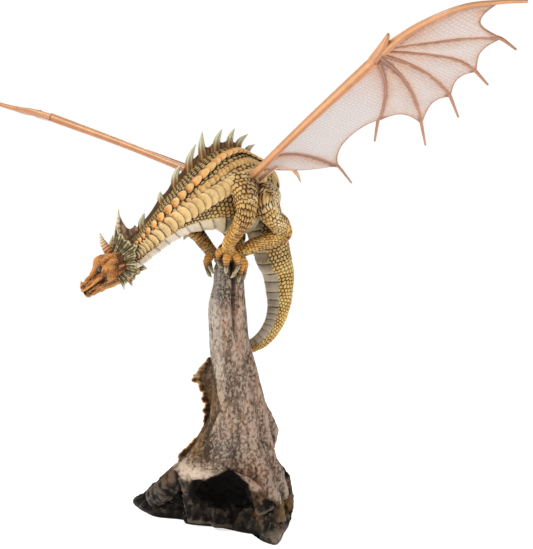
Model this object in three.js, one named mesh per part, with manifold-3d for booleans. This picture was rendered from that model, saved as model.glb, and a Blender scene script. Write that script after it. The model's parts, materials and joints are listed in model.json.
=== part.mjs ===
// Dragon statue: a winged dragon landing on a broken tree stump that grows out of a rock.
// Millimetres, +Z up. The dragon looks along -Y, its left side is +X, and the floor is z = 0.
import * as THREE from 'three';
import { mergeVertices } from 'three/addons/utils/BufferGeometryUtils.js';
import Module from 'manifold-3d';

const wasm = await Module();
wasm.setup();

const { cos, sin, PI, min, max, abs, sqrt } = Math;
const V = (x, y, z) => new THREE.Vector3(x, y, z);
const vec = (p) => V(p[0], p[1], p[2]);
const rad = THREE.MathUtils.degToRad;
const mix = THREE.MathUtils.lerp;
const smooth = THREE.MathUtils.smoothstep;

// Driving sizes
const FIT_GAP = 0.3;              // clearance between pieces that touch
const TRUNK_TOP = 321;            // height of the perch above the floor
const WING_ROOT = V(28, -10, 414);
const WING_DIHEDRAL = rad(17.1);
const WING_INCIDENCE = rad(-10.7);
const WING_CAMBER = 5;            // how far the skin arches up
const FINGER_DROOP = 5;           // how far the outer finger hangs below that arch
const MEMBRANE = 1.6;             // thickness of the moulded wing skin
const BONE = 3.6;                 // thickness of a wing bone
const SKIN_COLUMNS = [0, 0.2, 0.5, 0.8, 1];
const CAVE = { centre: V(11, -45, 40), radii: V(40, 33, 33), turn: rad(42), floor: 25 };

// The body's centre line from nape to tail tip: place, direction of the back, half width, half height
const SPINE = [
  { at: [-84, -113, 315], top: [-0.45, -0.45, 0.77], half: [12, 14] },
  { at: [-68, -102, 327], top: [-0.45, -0.45, 0.77], half: [14.5, 16] },
  { at: [-55, -91, 341], top: [-0.45, -0.45, 0.77], half: [17, 17] },
  { at: [-32, -72, 368], top: [-0.4, -0.45, 0.8], half: [22, 24] },
  { at: [-13, -47, 388], top: [-0.25, -0.4, 0.88], half: [28, 38] },
  { at: [-4, -23, 397], top: [-0.1, -0.2, 0.97], half: [33, 51] },
  { at: [0, 0, 401], top: [0, 0, 1], half: [35, 53] },
  { at: [0, 22, 403], top: [0, 0.25, 0.97], half: [32, 38] },
  { at: [0, 29, 393], top: [0, 0.75, 0.66], half: [26, 27] },
  { at: [0, 42, 366], top: [-0.12, 0.98, 0.15], half: [22.5, 24] },
  { at: [0, 55, 334], top: [-0.29, 0.95, 0], half: [22, 22.5] },
  { at: [0, 67, 306], top: [-0.29, 0.95, 0], half: [19.5, 19.5] },
  { at: [0, 70, 287], top: [-0.29, 0.95, 0], half: [17, 17] },
  { at: [0, 70, 266], top: [-0.27, 0.93, -0.2], half: [14, 14] },
  { at: [0, 62, 244], top: [-0.2, 0.8, -0.55], half: [11.5, 11.5] },
  { at: [-3, 46, 224], top: [-0.1, 0.5, -0.85], half: [9.5, 9.5] },
  { at: [-22, 37, 211], top: [-0.1, 0.5, -0.85], half: [7.5, 7.5] },
  { at: [-38, 26, 208], top: [-0.6, 0.3, -0.7], half: [5.5, 5.5] },
  { at: [-43, 12, 212], top: [-0.8, 0, -0.6], half: [3.5, 3.5] },
  { at: [-41, 1, 218], top: [-0.9, -0.3, -0.3], half: [1.2, 1.2] },
];

// The head from its back to its nose, along the way the snout points
const HEAD = [
  { at: [-72, -104, 323], half: [14, 17] },
  { at: [-81, -111, 317], half: [18, 22] },
  { at: [-90, -118, 310], half: [16.5, 21] },
  { at: [-99, -124.5, 301], half: [12.5, 16.5] },
  { at: [-107, -130.5, 293], half: [10, 12] },
  { at: [-115, -136, 285.5], half: [9, 10.5] },
  { at: [-119, -139.5, 281.5], half: [6.5, 7.5] },
];
const HEAD_TOP = [-0.45, -0.45, 0.77];

// Limbs: joints with their radii. The near side is the dragon's left.
const LIMBS = {
  left_arm: [
    { at: [22, -18, 410], half: [17, 20] },
    { at: [34, -22, 397], half: [15, 17] },
    { at: [42, -27, 381], half: [11.5, 13] },
    { at: [42, -30, 368], half: [10, 11] },
    { at: [31, -32, 354], half: [9, 9.5] },
    { at: [19, -33, 340], half: [7.5, 7.5] },
    { at: [13, -29, 330], half: [8.5, 6.5] },
    { at: [9, -24, 322], half: [7, 5.5] },
  ],
  right_arm: [
    { at: [-22, -18, 404], half: [17, 20] },
    { at: [-33, -21, 388], half: [14, 16] },
    { at: [-41, -27, 371], half: [11, 12] },
    { at: [-43, -31, 357], half: [9.5, 10] },
    { at: [-35, -29, 346], half: [8.5, 9] },
    { at: [-26, -26, 335], half: [7.5, 8] },
    { at: [-20, -21, 325], half: [8, 6.5] },
  ],
  left_leg: [
    { at: [16, 26, 392], half: [17, 18] },
    { at: [31, 13, 395], half: [17, 19] },
    { at: [41, -1, 388], half: [14, 15] },
    { at: [43, 10, 374], half: [13, 13] },
    { at: [41, 29, 361], half: [11.5, 11.5] },
    { at: [37, 37, 351], half: [10.5, 10.5] },
    { at: [29, 19, 343], half: [9, 9.5] },
    { at: [19, 1, 335], half: [8, 8.5] },
    { at: [10, -11, 328], half: [7, 7] },
  ],
  right_leg: [
    { at: [-16, 26, 392], half: [17, 18] },
    { at: [-31, 13, 392], half: [17, 19] },
    { at: [-41, 0, 384], half: [14, 15] },
    { at: [-43, 10, 371], half: [13, 13] },
    { at: [-41, 27, 359], half: [11.5, 11.5] },
    { at: [-38, 33, 348], half: [10.5, 10.5] },
    { at: [-34, 17, 338], half: [9, 9.5] },
    { at: [-29, 2, 328], half: [8, 8.5] },
    { at: [-24, -8, 319], half: [7.5, 7.5] },
  ],
};

// Fingers and toes: base, knuckle, pad and the tip of the claw
const DIGITS = [
  [[14, -30, 333], [6, -36, 329], [2, -34, 320], [3, -28, 311]],
  [[12, -27, 330], [15, -33, 322], [13, -32, 313], [9, -28, 305]],
  [[15, -25, 331], [21, -23, 323], [20, -19, 315], [12, -21, 304]],
  [[10, -12, 327], [13, -13, 318], [12, -15, 309], [6, -19, 299]],
  [[9, -8, 326], [11, -6, 314], [9, -7, 302], [6, -9, 292]],
  [[8, -4, 326], [8, 2, 315], [6, 3, 304], [3, 2, 294]],
  [[-22, -23, 329], [-20, -31, 321], [-16, -32, 313], [-12, -28, 304]],
  [[-23, -21, 327], [-27, -26, 318], [-26, -26, 309], [-21, -24, 300]],
  [[-24, -6, 319], [-28, -8, 309], [-28, -9, 300], [-24, -11, 290]],
  [[-24, -2, 319], [-29, 4, 308], [-29, 6, 298], [-25, 6, 288]],
];

// Bony points: foot, tip and root radius
const POINTS = {
  nose_horn: [[-117, -137.5, 289], [-123, -141, 294.5], 3.4],
  left_brow_horn: [[-87, -123, 327], [-96, -124, 351], 5.5],
  right_brow_horn: [[-98, -111, 327], [-106, -107, 350], 5.5],
  crown_horn: [[-82, -111, 330], [-85, -114, 380], 5.5],
  right_elbow_spur: [[-44, -34, 357], [-47, -46, 344], 6],
};

// Back spikes: how far along the crest each stands, and where its tip is above and behind that
const SPIKES = [
  { along: 2.1, reach: 12, lean: 15 },
  { along: 3, reach: 12, lean: 6 },
  { along: 3.5, reach: 20, lean: 21 },
  { along: 4.05, reach: 25, lean: 22 },
  { along: 4.6, reach: 31, lean: 9 },
  { along: 5.15, reach: 24, lean: 15 },
  { along: 5.7, reach: 22, lean: 12 },
  { along: 6.15, reach: 16, lean: 22 },
  { along: 6.6, reach: 11, lean: 18 },
];

// The wing in its own plane: [along the span, back along the chord]
const WING = {
  root: [0, 0],
  wrist: [265, -75],
  thumb: [305, -104],
  finger: [[281, -82], [304, -90], [338, -96], [376, -90], [400, -72], [416, -52]],
  ribs: [
    { from: [283, -83.5], bend: [341, -62], to: [362, -13], tip: [359, 17] },
    { from: [279.5, -82], bend: [322, -30], to: [310, 21], tip: [301, 54] },
    { from: [276, -80], bend: [290, -22], to: [263, 42], tip: [239, 88] },
    { from: [272, -78], bend: [264, -14], to: [207, 65], tip: [175, 112] },
    { from: [267, -76], bend: [240, -20], to: [184, 21], tip: [149, 55] },
    { from: [60, -16], bend: [92, -6], to: [82, 66], tip: [59, 114] },
  ],
  root_edge: { from: [30, -8], bend: [44, 36], to: [80, 62] },
  scallops: [0.16, 0.1, 0.12, 0.12, 0.12, 0.22, 0],
  claw: [[46, 2], [49, 20], [42, 38], [28, 58]],
  rod: [[46, 3], [-2, 12]],
};

// Stump: height, centre, half widths along the two diagonals
const STUMP = [
  { z: 4, at: [-12, 8], half: [58, 36] },
  { z: 36, at: [-11, 4], half: [57, 37] },
  { z: 64, at: [-9, -4], half: [58, 40] },
  { z: 84, at: [-5, -5], half: [49, 35] },
  { z: 107, at: [0, -3], half: [40, 31] },
  { z: 132, at: [2, -1], half: [34, 28] },
  { z: 176, at: [-1, -2], half: [28, 25] },
  { z: 220, at: [-7, -7], half: [24.5, 22] },
  { z: 262, at: [-9, -9], half: [22, 20] },
  { z: 290, at: [-8, -8], half: [18.5, 17] },
  { z: 312, at: [-8, -9], half: [16, 15] },
  { z: TRUNK_TOP, at: [-7, -11], half: [11, 10] },
];
const STUMP_GROOVES = 7;

// The sheet of torn bark: height against how far it stands off the stump
const BARK = [[204, 2], [188, 15], [178, 22], [164, 12], [146, 8], [130, 8], [112, 12], [90, 33], [70, 42]];

// Rock: the outline it stands on, going round as seen from above
const ROCK = [
  [90, -29], [83, -12], [65, 12], [45, 41], [21, 62], [-18, 104], [-50, 134], [-74, 133],
  [-118, 112], [-156, 84], [-176, 28], [-178, -20], [-152, -36], [-128, -43], [-100, -47],
  [-68, -33], [-48, -41], [-11, -25], [25, -20], [48, -15], [66, -27],
];
const ROCK_HEART = [-22, 30];
const ROCK_STEPS = [
  { z: 0, reach: 0.985 }, { z: 5, reach: 1 }, { z: 17, reach: 0.9 },
  { z: 30, reach: 0.75 }, { z: 44, reach: 0.58 }, { z: 60, reach: 0.42 }, { z: 74, reach: 0.26 },
];

// Geometry helpers

// A closed skin over rings of points, with both ends closed to their middles.
function skin(rings) {
  const count = rings[0].length;
  const points = rings.flat();
  const middle = (ring) => ring.reduce((sum, p) => sum.add(p), V(0, 0, 0)).divideScalar(count);
  points.push(middle(rings[0]), middle(rings.at(-1)));
  const faces = [];
  for (let r = 0; r < rings.length - 1; r++) {
    for (let i = 0; i < count; i++) {
      const a = r * count + i;
      const b = r * count + (i + 1) % count;
      faces.push(a, b, b + count, a, b + count, a + count);
    }
  }
  const last = (rings.length - 1) * count;
  for (let i = 0; i < count; i++) {
    const next = (i + 1) % count;
    faces.push(next, i, points.length - 2);
    faces.push(last + i, last + next, points.length - 1);
  }
  return { points, faces };
}

// The same skin as a manifold solid, turned inside out if its volume comes out negative.
function solid({ points, faces }) {
  let volume = 0;
  for (let i = 0; i < faces.length; i += 3) {
    const [a, b, c] = [0, 1, 2].map((k) => points[faces[i + k]]);
    volume += a.dot(b.clone().cross(c));
  }
  if (volume < 0) faces = faces.slice().reverse();
  const vertProperties = new Float32Array(points.flatMap((p) => [p.x, p.y, p.z]));
  const triVerts = new Uint32Array(faces);
  return new wasm.Manifold(new wasm.Mesh({ numProp: 3, vertProperties, triVerts }));
}

function fromGeometry(geometry) {
  geometry.deleteAttribute('normal');
  geometry.deleteAttribute('uv');
  const merged = mergeVertices(geometry, 1e-4);
  const position = merged.getAttribute('position');
  const points = [...Array(position.count).keys()].map((i) => V().fromBufferAttribute(position, i));
  return solid({ points, faces: [...merged.index.array] });
}

const join = (pieces) => pieces.reduce((sum, piece) => sum.add(piece));

// Smooth stations: place, back direction and half sizes, all read at t = 0 … stations - 1.
function guide(stations, fixedTop) {
  const last = stations.length - 1;
  const line = new THREE.CatmullRomCurve3(stations.map((s) => vec(s.at)), false, 'catmullrom', 0.5);
  const sizes = new THREE.CatmullRomCurve3(stations.map((s) => V(s.half[0], s.half[1], 0)));
  const tops = new THREE.CatmullRomCurve3(stations.map((s) => vec(s.top ?? fixedTop)));
  return (t) => {
    const u = min(max(t / last, 0), 1);
    const centre = line.getPoint(u);
    const ahead = line.getPoint(min(u + 0.004, 1)).sub(line.getPoint(max(u - 0.004, 0))).normalize();
    const top = tops.getPoint(u);
    top.addScaledVector(ahead, -top.dot(ahead)).normalize();
    const left = ahead.clone().cross(top).normalize();
    const half = sizes.getPoint(u);
    return { centre, ahead, top, left, half };
  };
}

// A point on the skin of a guide: angle 0 is the back, positive towards the dragon's left flank.
function onSkin({ centre, top, left, half }, angle, raise = 0) {
  return centre.clone()
    .addScaledVector(top, cos(angle) * (half.y + raise))
    .addScaledVector(left, sin(angle) * (half.x + raise));
}

function tube(stations, { steps, sides, top = [0, 0, 1], shape = () => 1 }) {
  const read = guide(stations, top);
  const rings = [];
  for (let r = 0; r <= steps; r++) {
    const t = r / steps * (stations.length - 1);
    const place = read(t);
    rings.push([...Array(sides).keys()].map((i) => {
      const angle = i / sides * 2 * PI;
      const p = onSkin(place, angle);
      return p.sub(place.centre).multiplyScalar(shape(angle, t)).add(place.centre);
    }));
  }
  return skin(rings);
}

// A tapering point such as a horn, spike or claw, bent from its foot to its tip.
function horn(foot, tip, radius, { sides = 5, bow = V(0, 0, 0), flat = 1 } = {}) {
  const middle = foot.clone().lerp(tip, 0.5).add(bow);
  const stations = [
    { at: foot.toArray(), half: [radius * flat, radius] },
    { at: middle.toArray(), half: [radius * flat * 0.62, radius * 0.62] },
    { at: tip.toArray(), half: [0.5, 0.5] },
  ];
  const away = tip.clone().sub(foot);
  const top = abs(away.z) > 0.8 * away.length() ? [0, 1, 0] : [0, 0, 1];
  return solid(tube(stations, { steps: 2, sides, top }));
}

// A domed scale: a squashed ball lying on the skin, its rear edge tilted up.
function scale(place, angle, size, { lift = 0.1, tilt = 0.25, round = 6 } = {}) {
  const out = onSkin(place, angle, 1).sub(onSkin(place, angle)).normalize();
  const along = place.ahead.clone().addScaledVector(out, tilt).normalize();
  const across = out.clone().cross(along).normalize();
  const normal = along.clone().cross(across);
  const ball = new THREE.SphereGeometry(1, round, 3);
  ball.rotateX(PI / 2);
  const basis = new THREE.Matrix4().makeBasis(
    along.multiplyScalar(size.long), across.multiplyScalar(size.wide), normal.multiplyScalar(size.thick),
  );
  basis.setPosition(onSkin(place, angle).addScaledVector(out, lift));
  return fromGeometry(ball.applyMatrix4(basis));
}

// A thin sheet over a grid of points, thickened along each point's normal or along a given one.
// The thickness is one number, or one for each row.
function slab(grid, thickness, fixedNormal) {
  const rows = grid.length;
  const columns = grid[0].length;
  const points = [];
  for (const side of [0.5, -0.5]) {
    for (let r = 0; r < rows; r++) {
      for (let c = 0; c < columns; c++) {
        const down = grid[min(r + 1, rows - 1)][c].clone().sub(grid[max(r - 1, 0)][c]);
        const over = grid[r][min(c + 1, columns - 1)].clone().sub(grid[r][max(c - 1, 0)]);
        const normal = fixedNormal ?? down.cross(over).normalize();
        points.push(grid[r][c].clone().addScaledVector(normal, side * (thickness[r] ?? thickness)));
      }
    }
  }
  const faces = [];
  const at = (side, r, c) => side * rows * columns + r * columns + c;
  for (let r = 0; r < rows - 1; r++) {
    for (let c = 0; c < columns - 1; c++) {
      faces.push(at(0, r, c), at(0, r + 1, c), at(0, r + 1, c + 1));
      faces.push(at(0, r, c), at(0, r + 1, c + 1), at(0, r, c + 1));
      faces.push(at(1, r, c), at(1, r + 1, c + 1), at(1, r + 1, c));
      faces.push(at(1, r, c), at(1, r, c + 1), at(1, r + 1, c + 1));
    }
  }
  const rim = [];
  for (let c = 0; c < columns; c++) rim.push([0, c]);
  for (let r = 1; r < rows; r++) rim.push([r, columns - 1]);
  for (let c = columns - 2; c >= 0; c--) rim.push([rows - 1, c]);
  for (let r = rows - 2; r > 0; r--) rim.push([r, 0]);
  rim.forEach(([r, c], i) => {
    const [nr, nc] = rim[(i + 1) % rim.length];
    faces.push(at(0, r, c), at(0, nr, nc), at(1, nr, nc), at(0, r, c), at(1, nr, nc), at(1, r, c));
  });
  return solid({ points, faces });
}

// The dragon

const spine = guide(SPINE);

// The belly is a little flatter than the back, and the sides bulge over the ribs.
const bodyShape = (angle) => 1 + 0.04 * sin(angle) ** 2 - 0.05 * max(-cos(angle), 0) ** 3;

function bodyCore() {
  const body = solid(tube(SPINE, { steps: 30, sides: 12, shape: bodyShape }));
  const head = solid(tube(HEAD, {
    steps: 8, sides: 10, top: HEAD_TOP,
    shape: (angle) => 1 - 0.12 * max(cos(angle * 2), 0),
  }));
  return join([body, head]);
}

function limbs() {
  const limb = (name, steps, top) => tube(LIMBS[name], { steps, sides: 7, top });
  const arms = ['left_arm', 'right_arm'].map((name) => limb(name, 8, [0, -1, 0]));
  const legs = ['left_leg', 'right_leg'].map((name) => limb(name, 9, [1, 0, 0]));
  const digits = DIGITS.map((joints) => {
    const sizes = [4.2, 4, 3.4, 0.6];
    const stations = joints.map((at, i) => ({ at, half: [sizes[i], sizes[i]] }));
    return tube(stations, { steps: 3, sides: 5, top: [0.3, 0.9, 0.1] });
  });
  return [...arms, ...legs, ...digits].map(solid);
}

function spikes() {
  return SPIKES.map(({ along, reach, lean }) => {
    const place = spine(along);
    const foot = onSkin(place, 0, -6);
    const tip = onSkin(place, 0, reach).addScaledVector(place.ahead, lean);
    return horn(foot, tip, 6.5, { sides: 5, flat: 0.5 });
  });
}

// A low web runs along the crest between the spikes, from the crown to the shoulders.
function crestWeb() {
  const steps = 14;
  const rows = [];
  for (let i = 0; i <= steps; i++) {
    const along = mix(0.35, 6.9, i / steps);
    const place = spine(along);
    const nearest = min(...SPIKES.map((s) => abs(s.along - along)));
    const fade = smooth(along, 0.2, 1.5) * (1 - smooth(along, 6.2, 6.9));
    const height = 1 + fade * mix(8, 3, smooth(nearest, 0, 0.3));
    rows.push([onSkin(place, 0, -5), onSkin(place, 0, height)]);
  }
  return slab(rows, 4);
}

// Rows of scales down both flanks and one row of keeled scales down the back and tail
function scaleRows() {
  const rows = [];
  for (const side of [1, -1]) {
    for (let i = 0; i < 12; i++) {
      const along = mix(1.15, 5.75, i / 11);
      const big = mix(0.55, 1, smooth(along, 1, 3.4));
      const angle = rad(mix(86, 64, smooth(along, 2.5, 5.8)));
      const size = { long: 8.6 * big, wide: 11.5 * big, thick: 3.4 * big };
      rows.push(scale(spine(along), side * angle, size, { lift: 0.6, round: 7 }));
    }
    for (let i = 0; i < 11; i++) {
      const along = mix(1.1, 6.5, i / 10);
      const big = mix(0.6, 1, smooth(along, 1, 3.4));
      const angle = rad(mix(50, 27, smooth(along, 2.5, 5.8)));
      const size = { long: 6.6 * big, wide: 5.6 * big, thick: 3.2 * big };
      rows.push(scale(spine(along), side * angle, size, { lift: 0.6, round: 5 }));
    }
  }
  for (let i = 0; i < 13; i++) {
    const along = mix(7, 14.6, i / 12);
    const place = spine(along);
    const wide = place.half.x * 0.55;
    const size = { long: 5 + wide * 0.4, wide, thick: 1 + wide * 0.2 };
    rows.push(scale(place, 0, size, { lift: 0.6, tilt: 0.35, round: 5 }));
  }
  return rows;
}

// The ruff behind the cheek: a ribbed fan that flares outwards, with points at its ribs.
function ruff(side) {
  const middle = guide(HEAD, HEAD_TOP)(1.9);
  const left = middle.left.clone().multiplyScalar(side);
  const hub = middle.centre.clone().addScaledVector(left, 14).addScaledVector(middle.top, 6);
  const back = middle.ahead.clone().negate();
  const rows = [];
  const rays = 9;
  for (let i = 0; i <= rays; i++) {
    const angle = mix(rad(42), rad(-90), i / rays);
    const pointed = i % 3 === 0 ? 1 : 0.84;
    const reach = mix(48, 35, i / rays) * pointed;
    const ray = back.clone().multiplyScalar(cos(angle)).addScaledVector(middle.top, sin(angle));
    const row = [0.08, 0.5, 1].map((part) => hub.clone()
      .addScaledVector(ray, reach * part)
      .addScaledVector(left, 9 * part * part - 3 + (i % 2 ? -0.8 : 0.8) * part));
    rows.push(row);
  }
  return slab(rows, 3);
}

function crownWeb() {
  const crown = vec(POINTS.crown_horn[1]);
  const rows = [];
  for (let i = 0; i <= 5; i++) {
    const part = i / 5;
    const place = spine(mix(0.1, 1.3, part));
    const low = onSkin(place, 0, -4);
    const ridge = onSkin(spine(1.3), 0, 17);
    const high = crown.clone().lerp(ridge, part);
    high.addScaledVector(place.top, -26 * sin(part * PI) ** 0.8 - 4);
    rows.push([low, low.clone().lerp(high, 0.5), high]);
  }
  return slab(rows, 3);
}

const sockets = () => [1, -1].flatMap((side) => [
  wingRod(side, WING.root, [-9, 3], 4.2 + FIT_GAP),
  wingRod(side, WING.rod[1], [-13, 14.2], 2.4 + FIT_GAP),
]);

function dragon() {
  const bones = Object.entries(POINTS).map(([name, [foot, tip, radius]]) => {
    const bow = name.includes('brow') ? V(-2, -2, -2) : V(0, 0, 0);
    return horn(vec(foot), vec(tip), radius, { bow });
  });
  const shape = join([bodyCore(), ...limbs(), ...bones, ...spikes(), crestWeb(), crownWeb(),
    ruff(1), ruff(-1), ...scaleRows()]);
  return sockets().reduce((rest, hole) => rest.subtract(hole), shape);
}

// The wings

// A point of the wing plane; the far wing is the near one seen in a mirror.
function wingAxes() {
  const along = V(cos(WING_DIHEDRAL), 0, sin(WING_DIHEDRAL));
  const rise = V(-sin(WING_DIHEDRAL), 0, cos(WING_DIHEDRAL));
  const back = V(0, cos(WING_INCIDENCE), 0).addScaledVector(rise, sin(WING_INCIDENCE));
  return { along, back, normal: along.clone().cross(back) };
}

function wingPoint([span, chord], side) {
  const { along, back, normal } = wingAxes();
  const p = WING_ROOT.clone().addScaledVector(along, span).addScaledVector(back, chord);
  const arch = WING_CAMBER * sin(PI * min(max(span / 420, 0), 1));
  const droop = FINGER_DROOP * smooth(span, 275, 330) * smooth(-chord, 0, 70);
  p.addScaledVector(normal, arch - droop);
  return V(p.x * side, p.y, p.z);
}

function wingRod(side, from, to, radius) {
  const stations = [from, to].map((p) => ({ at: wingPoint(p, side).toArray(), half: [radius, radius] }));
  return solid(tube(stations, { steps: 1, sides: 8, top: [0, 1, 0] }));
}

function wingTube(side, route, radii, { steps, sides = 6 }) {
  const stations = route.map((p, i) => ({ at: wingPoint(p, side).toArray(), half: [radii[i], radii[i]] }));
  return solid(tube(stations, { steps, sides, top: [0, 0, 1] }));
}

const bezier = (a, b, c, t) => [0, 1].map((k) =>
  (1 - t) ** 2 * a[k] + 2 * t * (1 - t) * b[k] + t * t * c[k]);
const between = (a, b, t) => [mix(a[0], b[0], t), mix(a[1], b[1], t)];

const fingerLine = new THREE.CatmullRomCurve3(WING.finger.map(([x, y]) => V(x, y, 0)));
const onFinger = (t) => fingerLine.getPoint(t).toArray().slice(0, 2);

const skinNormal = (side) => wingAxes().normal.multiply(V(side, 1, 1));

// The lines that the skin hangs between, from the outer finger round to the root edge
function skinLines() {
  const bones = WING.ribs.map(({ from, bend, to }) => (t) => bezier(from, bend, to, t));
  const { from, bend, to } = WING.root_edge;
  return [(t) => onFinger(t * 0.8), ...bones, (t) => bezier(from, bend, to, t)];
}

// The skin as one sheet. Each panel's free edge is drawn in between its bones' ends, and the
// sheet is thick along a bone and thin between two.
function wingSkin(side) {
  const rows = [];
  const thickness = [];
  const lines = skinLines();
  const addRow = (first, second, across, scallop) => {
    const edge = 1 - scallop * 4 * across * (1 - across);
    rows.push(SKIN_COLUMNS.map((part) =>
      wingPoint(between(first(part * edge), second(part * edge), across), side)));
    thickness.push(across === 0 ? BONE : MEMBRANE);
  };
  WING.scallops.forEach((scallop, i) => {
    for (const across of [0, 0.08, 0.36, 0.64, 0.92]) addRow(lines[i], lines[i + 1], across, scallop);
  });
  addRow(lines.at(-2), lines.at(-1), 1, 0);
  return slab(rows, thickness, skinNormal(side));
}

function wing(side) {
  const arm = (t) => between(WING.root, WING.wrist, t);
  const armRoute = [[-8, 2.5], arm(0.02), arm(0.5), arm(1)];
  const tips = WING.ribs.map(({ from, bend, to, tip }) =>
    wingTube(side, [bezier(from, bend, to, 0.95), tip], [2, 0.6], { steps: 1, sides: 5 }));
  return join([
    wingSkin(side),
    wingTube(side, armRoute, [4.2, 4.4, 4.4, 5.5], { steps: 3, sides: 8 }),
    wingTube(side, [arm(0.95), [286, -90], WING.thumb], [5.2, 4.6, 0.7], { steps: 3, sides: 6 }),
    wingTube(side, WING.finger, [5, 3.8, 3.1, 2.5, 1.9, 0.7], { steps: 8, sides: 6 }),
    wingTube(side, WING.claw, [2.4, 2.2, 1.9, 0.6], { steps: 3, sides: 5 }),
    wingTube(side, [WING.rod[0], WING.rod[1], [-12, 14]], [2.6, 2.4, 2.4], { steps: 2, sides: 6 }),
    ...tips,
  ]);
}

// The plinth

const ripple = (a, b) => sin(a * 1.7 + b * 2.3) * cos(a * 2.9 - b * 1.3);

// A ring of the stump: flutes run up it and wander, deeper towards the foot.
function stumpRing({ z, at, half }, sides) {
  return [...Array(sides).keys()].map((i) => {
    const angle = i / sides * 2 * PI;
    const groove = 0.05 * cos(STUMP_GROOVES * angle + z * 0.012) + 0.03 * ripple(angle * 2, z * 0.03);
    const reach = 1 + groove * (1 + smooth(160 - z, 0, 120));
    const right = cos(angle) * half[0] * reach;
    const away = sin(angle) * half[1] * reach;
    return V(at[0] + (right - away) * sqrt(0.5), at[1] + (right + away) * sqrt(0.5), z);
  });
}

function stump() {
  const rings = STUMP.map((level) => stumpRing(level, 18));
  return solid(skin(rings));
}

const rockOutline = new THREE.CatmullRomCurve3(ROCK.map(([x, y]) => V(x, y, 0)), true, 'centripetal');

function rock() {
  const sides = 30;
  const rings = ROCK_STEPS.map(({ z, reach }, level) => [...Array(sides).keys()].map((i) => {
    const p = rockOutline.getPoint(i / sides);
    const rough = level > 1 ? 1 + 0.07 * ripple(i * 0.9, level * 1.9) : 1;
    const x = mix(ROCK_HEART[0], p.x, reach * rough);
    const y = mix(ROCK_HEART[1], p.y, reach * rough);
    const lumps = level > 1 ? 5 * ripple(i * 1.7 + 2, level) : 0;
    return V(x, y, max(z + lumps, z * 0.7));
  }));
  return solid(skin(rings));
}

function cave() {
  const ball = new THREE.SphereGeometry(1, 14, 8);
  const { centre, radii, turn } = CAVE;
  ball.rotateX(PI / 2);
  ball.scale(radii.x, radii.y, radii.z);
  ball.rotateZ(turn);
  ball.translate(centre.x, centre.y, centre.z);
  const hollow = fromGeometry(ball);
  const floor = new THREE.BoxGeometry(400, 400, 40);
  floor.translate(0, 0, CAVE.floor - 20);
  return hollow.subtract(fromGeometry(floor));
}

// The torn sheet of bark on the stump's right: its free edge is toothed.
function bark() {
  const teeth = 5;
  const reach = new THREE.CatmullRomCurve3(BARK.map(([z, out]) => V(z, out, 0)));
  const rows = [];
  for (let i = 0; i <= teeth * 2; i++) {
    const { x: z, y: out } = reach.getPoint(i / (teeth * 2));
    const tooth = i % 2 ? 2 : 0;
    const spread = smooth(-z, -130, -60) * 16;
    const inner = V(-18 - spread * 0.4, -18, z);
    const edge = V(-26 - (out + tooth) * 0.78 - spread * 0.3, -22 - out * 0.62, z);
    const crease = inner.clone().lerp(edge, 0.5).add(V(-6, 6, 0));
    rows.push([inner, crease, edge]);
  }
  return slab(rows, 6);
}

// Roots and a ragged ridge that run down from the stump to the rock
function roots() {
  const routes = [
    [[-28, -24, 112], [-51, -35, 73], [-85, -42, 40], [-118, -30, 18], 14],
    [[8, 20, 160], [13, 29, 138], [20, 37, 114], [17, 32, 92], 8],
    [[22, -4, 110], [38, 0, 74], [50, 2, 42], [58, 0, 14], 14],
    [[-16, 26, 120], [-30, 52, 78], [-44, 82, 46], [-52, 104, 18], 14],
    [[14, 38, 70], [22, 46, 58], [28, 51, 34], [27, 48, 8], 11],
    [[-104, -26, 30], [-62, -41, 56], [-20, -46, 68], [22, -36, 68], 8],
    [[14, -39, 69], [34, -30, 64], [48, -20, 54], [58, -12, 30], 9],
  ];
  return routes.map(([a, b, c, d, radius]) => {
    const stations = [a, b, c, d].map((at, i) => ({ at, half: [radius * (0.8 + 0.1 * i), radius] }));
    return solid(tube(stations, { steps: 5, sides: 7, top: [0, 0.2, 1] }));
  });
}

function plinth() {
  const whole = join([rock(), stump(), bark(), ...roots()]).subtract(cave());
  const below = new THREE.BoxGeometry(600, 600, 100);
  below.translate(0, 0, -50);
  return whole.subtract(fromGeometry(below));
}

// Assembly

function mesh(name, shape, look) {
  const { vertProperties, triVerts } = shape.getMesh();
  const geometry = new THREE.BufferGeometry();
  geometry.setAttribute('position', new THREE.BufferAttribute(vertProperties, 3));
  geometry.setIndex(new THREE.BufferAttribute(triVerts, 1));
  const piece = new THREE.Mesh(geometry, new THREE.MeshStandardMaterial(look));
  piece.name = name;
  return piece;
}

// The dragon's shape pushed out in six directions, so that the perch keeps clear of it.
function grown(shape) {
  const g = FIT_GAP;
  const shifts = [[g, 0, 0], [-g, 0, 0], [0, g, 0], [0, -g, 0], [0, 0, g], [0, 0, -g]];
  return join(shifts.map((shift) => shape.translate(shift)));
}

// The largest body of a shape: crumbs that a cut leaves loose are dropped.
const largest = (shape) => shape.decompose().sort((a, b) => b.volume() - a.volume())[0];

const figure = largest(dragon());
const room = grown(figure);

const group = new THREE.Group();
group.add(
  mesh('plinth', largest(plinth().subtract(room)), { color: 0x6e5c4e, roughness: 0.85, metalness: 0 }),
  mesh('dragon', figure, { color: 0xa9823f, roughness: 0.6, metalness: 0 }),
  mesh('wing_left', largest(wing(1).subtract(room)), { color: 0xc99b78, roughness: 0.45, metalness: 0 }),
  mesh('wing_right', largest(wing(-1).subtract(room)), { color: 0xc99b78, roughness: 0.45, metalness: 0 }),
);

export default group;
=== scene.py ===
# %% [markdown]
# # A painted dragon statue
# The statue is cast resin: a dragon that lands on a broken tree stump, on a rock. Its two wings
# are moulded in translucent plastic and plug into the back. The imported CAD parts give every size,
# and the pieces made here stand for them, with the carving and the paint that the casting has.

import json
import math

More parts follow.
